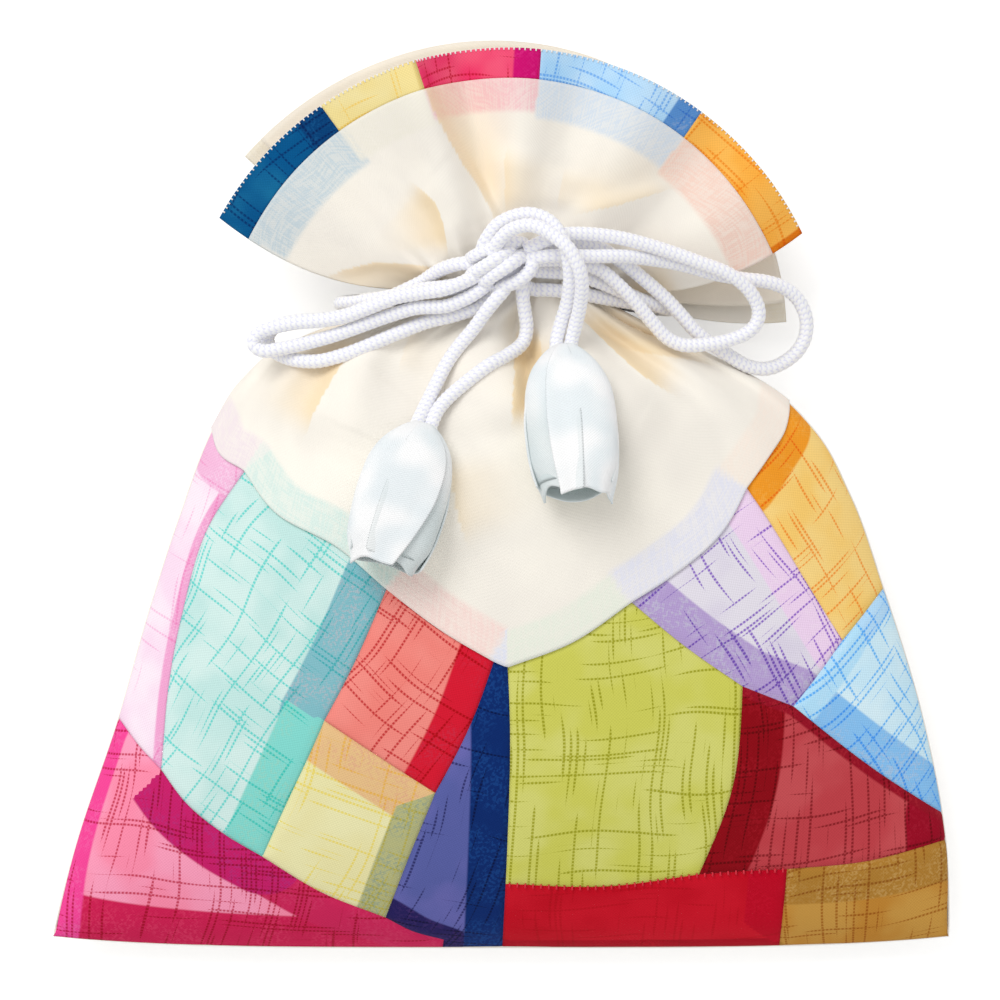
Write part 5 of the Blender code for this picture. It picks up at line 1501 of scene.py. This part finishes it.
across = np.linspace(-1, 1, BACK_COLUMNS + 1)[None, :]
share = np.linspace(0, 1, BACK_BODY_ROWS + 1)[:, None]
lower = back_points(*np.broadcast_arrays(across, share), body_surface)
share = np.linspace(0, 1, BACK_FRILL_ROWS + 1)[:, None]
upper = back_points(*np.broadcast_arrays(across, share), frill_surface)
grid = np.concatenate([lower, upper])
run = length_up(grid)
uv = np.stack([np.broadcast_to(across * WIDTH_ON_CLOTH, run.shape), run], -1)
marks = {"across": np.broadcast_to(across, run.shape), "from_low": np.full(run.shape, float(FAR)),
         "from_top": distance_to(grid, grid[-1]), "warm_shade": np.zeros(run.shape)}
back = cloth_piece("back_panel_cloth", grid, -1, THIN,
                   cream_cloth("cream_back", (), [HEM]), uv, marks)
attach(back, "root")
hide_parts("back_panel")
declare_cloth(back, grid)

# %% [markdown]
# The lining is the same form drawn in by a few millimetres, with no print and no seams.

# %% Make the lining
LINING_COLUMNS = 120
LINING_BODY_ROWS = 80
LINING_FRILL_ROWS = 40
# The lining, lying inside the pouch, gets a fixed share of the painted warm shade all over.
LINING_SHADE = 0.3
LINING_WIDTH_ON_CLOTH = 80
for name, face in (("lining_front", 1), ("lining_back", -1)):
    across = np.linspace(-1, 1, LINING_COLUMNS + 1)[None, :]
    up = np.linspace(0, 1, LINING_BODY_ROWS + 1)[:, None]
    out = np.linspace(0, 1, LINING_FRILL_ROWS + 1)[:, None]
    lower = body_surface(face, across, up, lined=True)
    upper = frill_surface(face, across * LINING_SHARE, out, lined=True)
    grid = np.concatenate([lower, upper])
    run = length_up(grid)
    uv = np.stack([np.broadcast_to(across * LINING_WIDTH_ON_CLOTH, run.shape), run], -1)
    marks = {"across": np.broadcast_to(across, run.shape), "from_low": np.full(run.shape, float(FAR)),
             "from_top": np.full(run.shape, float(FAR)), "warm_shade": np.full(run.shape, LINING_SHADE)}
    piece = cloth_piece(name + "_cloth", grid, face, THIN, cream_cloth("cream_" + name), uv, marks)
    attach(piece, "root")
    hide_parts(name)
    declare_cloth(piece, grid)
print("back and lining made")

# %% [markdown]
# ## Light and floor
# The picture is high key: soft light from all round, a little stronger from the upper left, on a
# white ground. The floor turns whiter for the camera only, so that the pouch's own light stays plain.

# %% Light it
SKY_STRENGTH = 0.72
WINDOW_STRENGTH = 1.15
WINDOW_WIDTH = 35
WINDOW_LEAN = (-34, -30)
FLOOR_SIDE = 2500.0
FLOOR_LEVEL = -0.05
FLOOR_GLOW = 0.42
scene = bpy.context.scene
scene.view_settings.view_transform = "Standard"
world = bpy.data.worlds.new("studio")
world.use_nodes = True
world.node_tree.nodes["Background"].inputs["Color"].default_value = (1, 1, 1, 1)
world.node_tree.nodes["Background"].inputs["Strength"].default_value = SKY_STRENGTH
scene.world = world

sun_data = bpy.data.lights.new("window", "SUN")
sun_data.energy = WINDOW_STRENGTH
sun_data.angle = math.radians(WINDOW_WIDTH)
sun = bpy.data.objects.new("window", sun_data)
sun.rotation_euler = (math.radians(WINDOW_LEAN[0]), math.radians(WINDOW_LEAN[1]), 0)
bpy.context.collection.objects.link(sun)

floor_finish = Finish("white_floor", roughness=0.9, sheen=0)
floor_finish.shader.inputs["Base Color"].default_value = (0.86, 0.86, 0.86, 1)
path = floor_finish.node("LightPath")
seen = floor_finish.math("MAXIMUM", path.outputs["Is Camera Ray"], path.outputs["Is Glossy Ray"])
glow = floor_finish.node("Emission", [("Color", (1.0, 1.0, 1.0)), ("Strength", FLOOR_GLOW)])
none = floor_finish.node("Emission", [("Strength", 0.0)])
picked = floor_finish.node("MixShader", [(0, seen), (1, none.outputs[0]), (2, glow.outputs[0])])
both = floor_finish.node("AddShader", [(0, floor_finish.shader.outputs[0]), (1, picked.outputs[0])])
floor_finish.feed(floor_finish.tree.nodes["Material Output"].inputs["Surface"], both.outputs[0])
floor_corners = np.array([[-FLOOR_SIDE, -FLOOR_SIDE], [FLOOR_SIDE, -FLOOR_SIDE],
                          [FLOOR_SIDE, FLOOR_SIDE], [-FLOOR_SIDE, FLOOR_SIDE]])
floor_corners = np.append(floor_corners, np.full((4, 1), FLOOR_LEVEL), 1)
floor = mesh_piece("floor", floor_corners, [[0, 1, 2, 3]], floor_finish.material)
print("a sky of", SKY_STRENGTH, "and a window of", WINDOW_STRENGTH)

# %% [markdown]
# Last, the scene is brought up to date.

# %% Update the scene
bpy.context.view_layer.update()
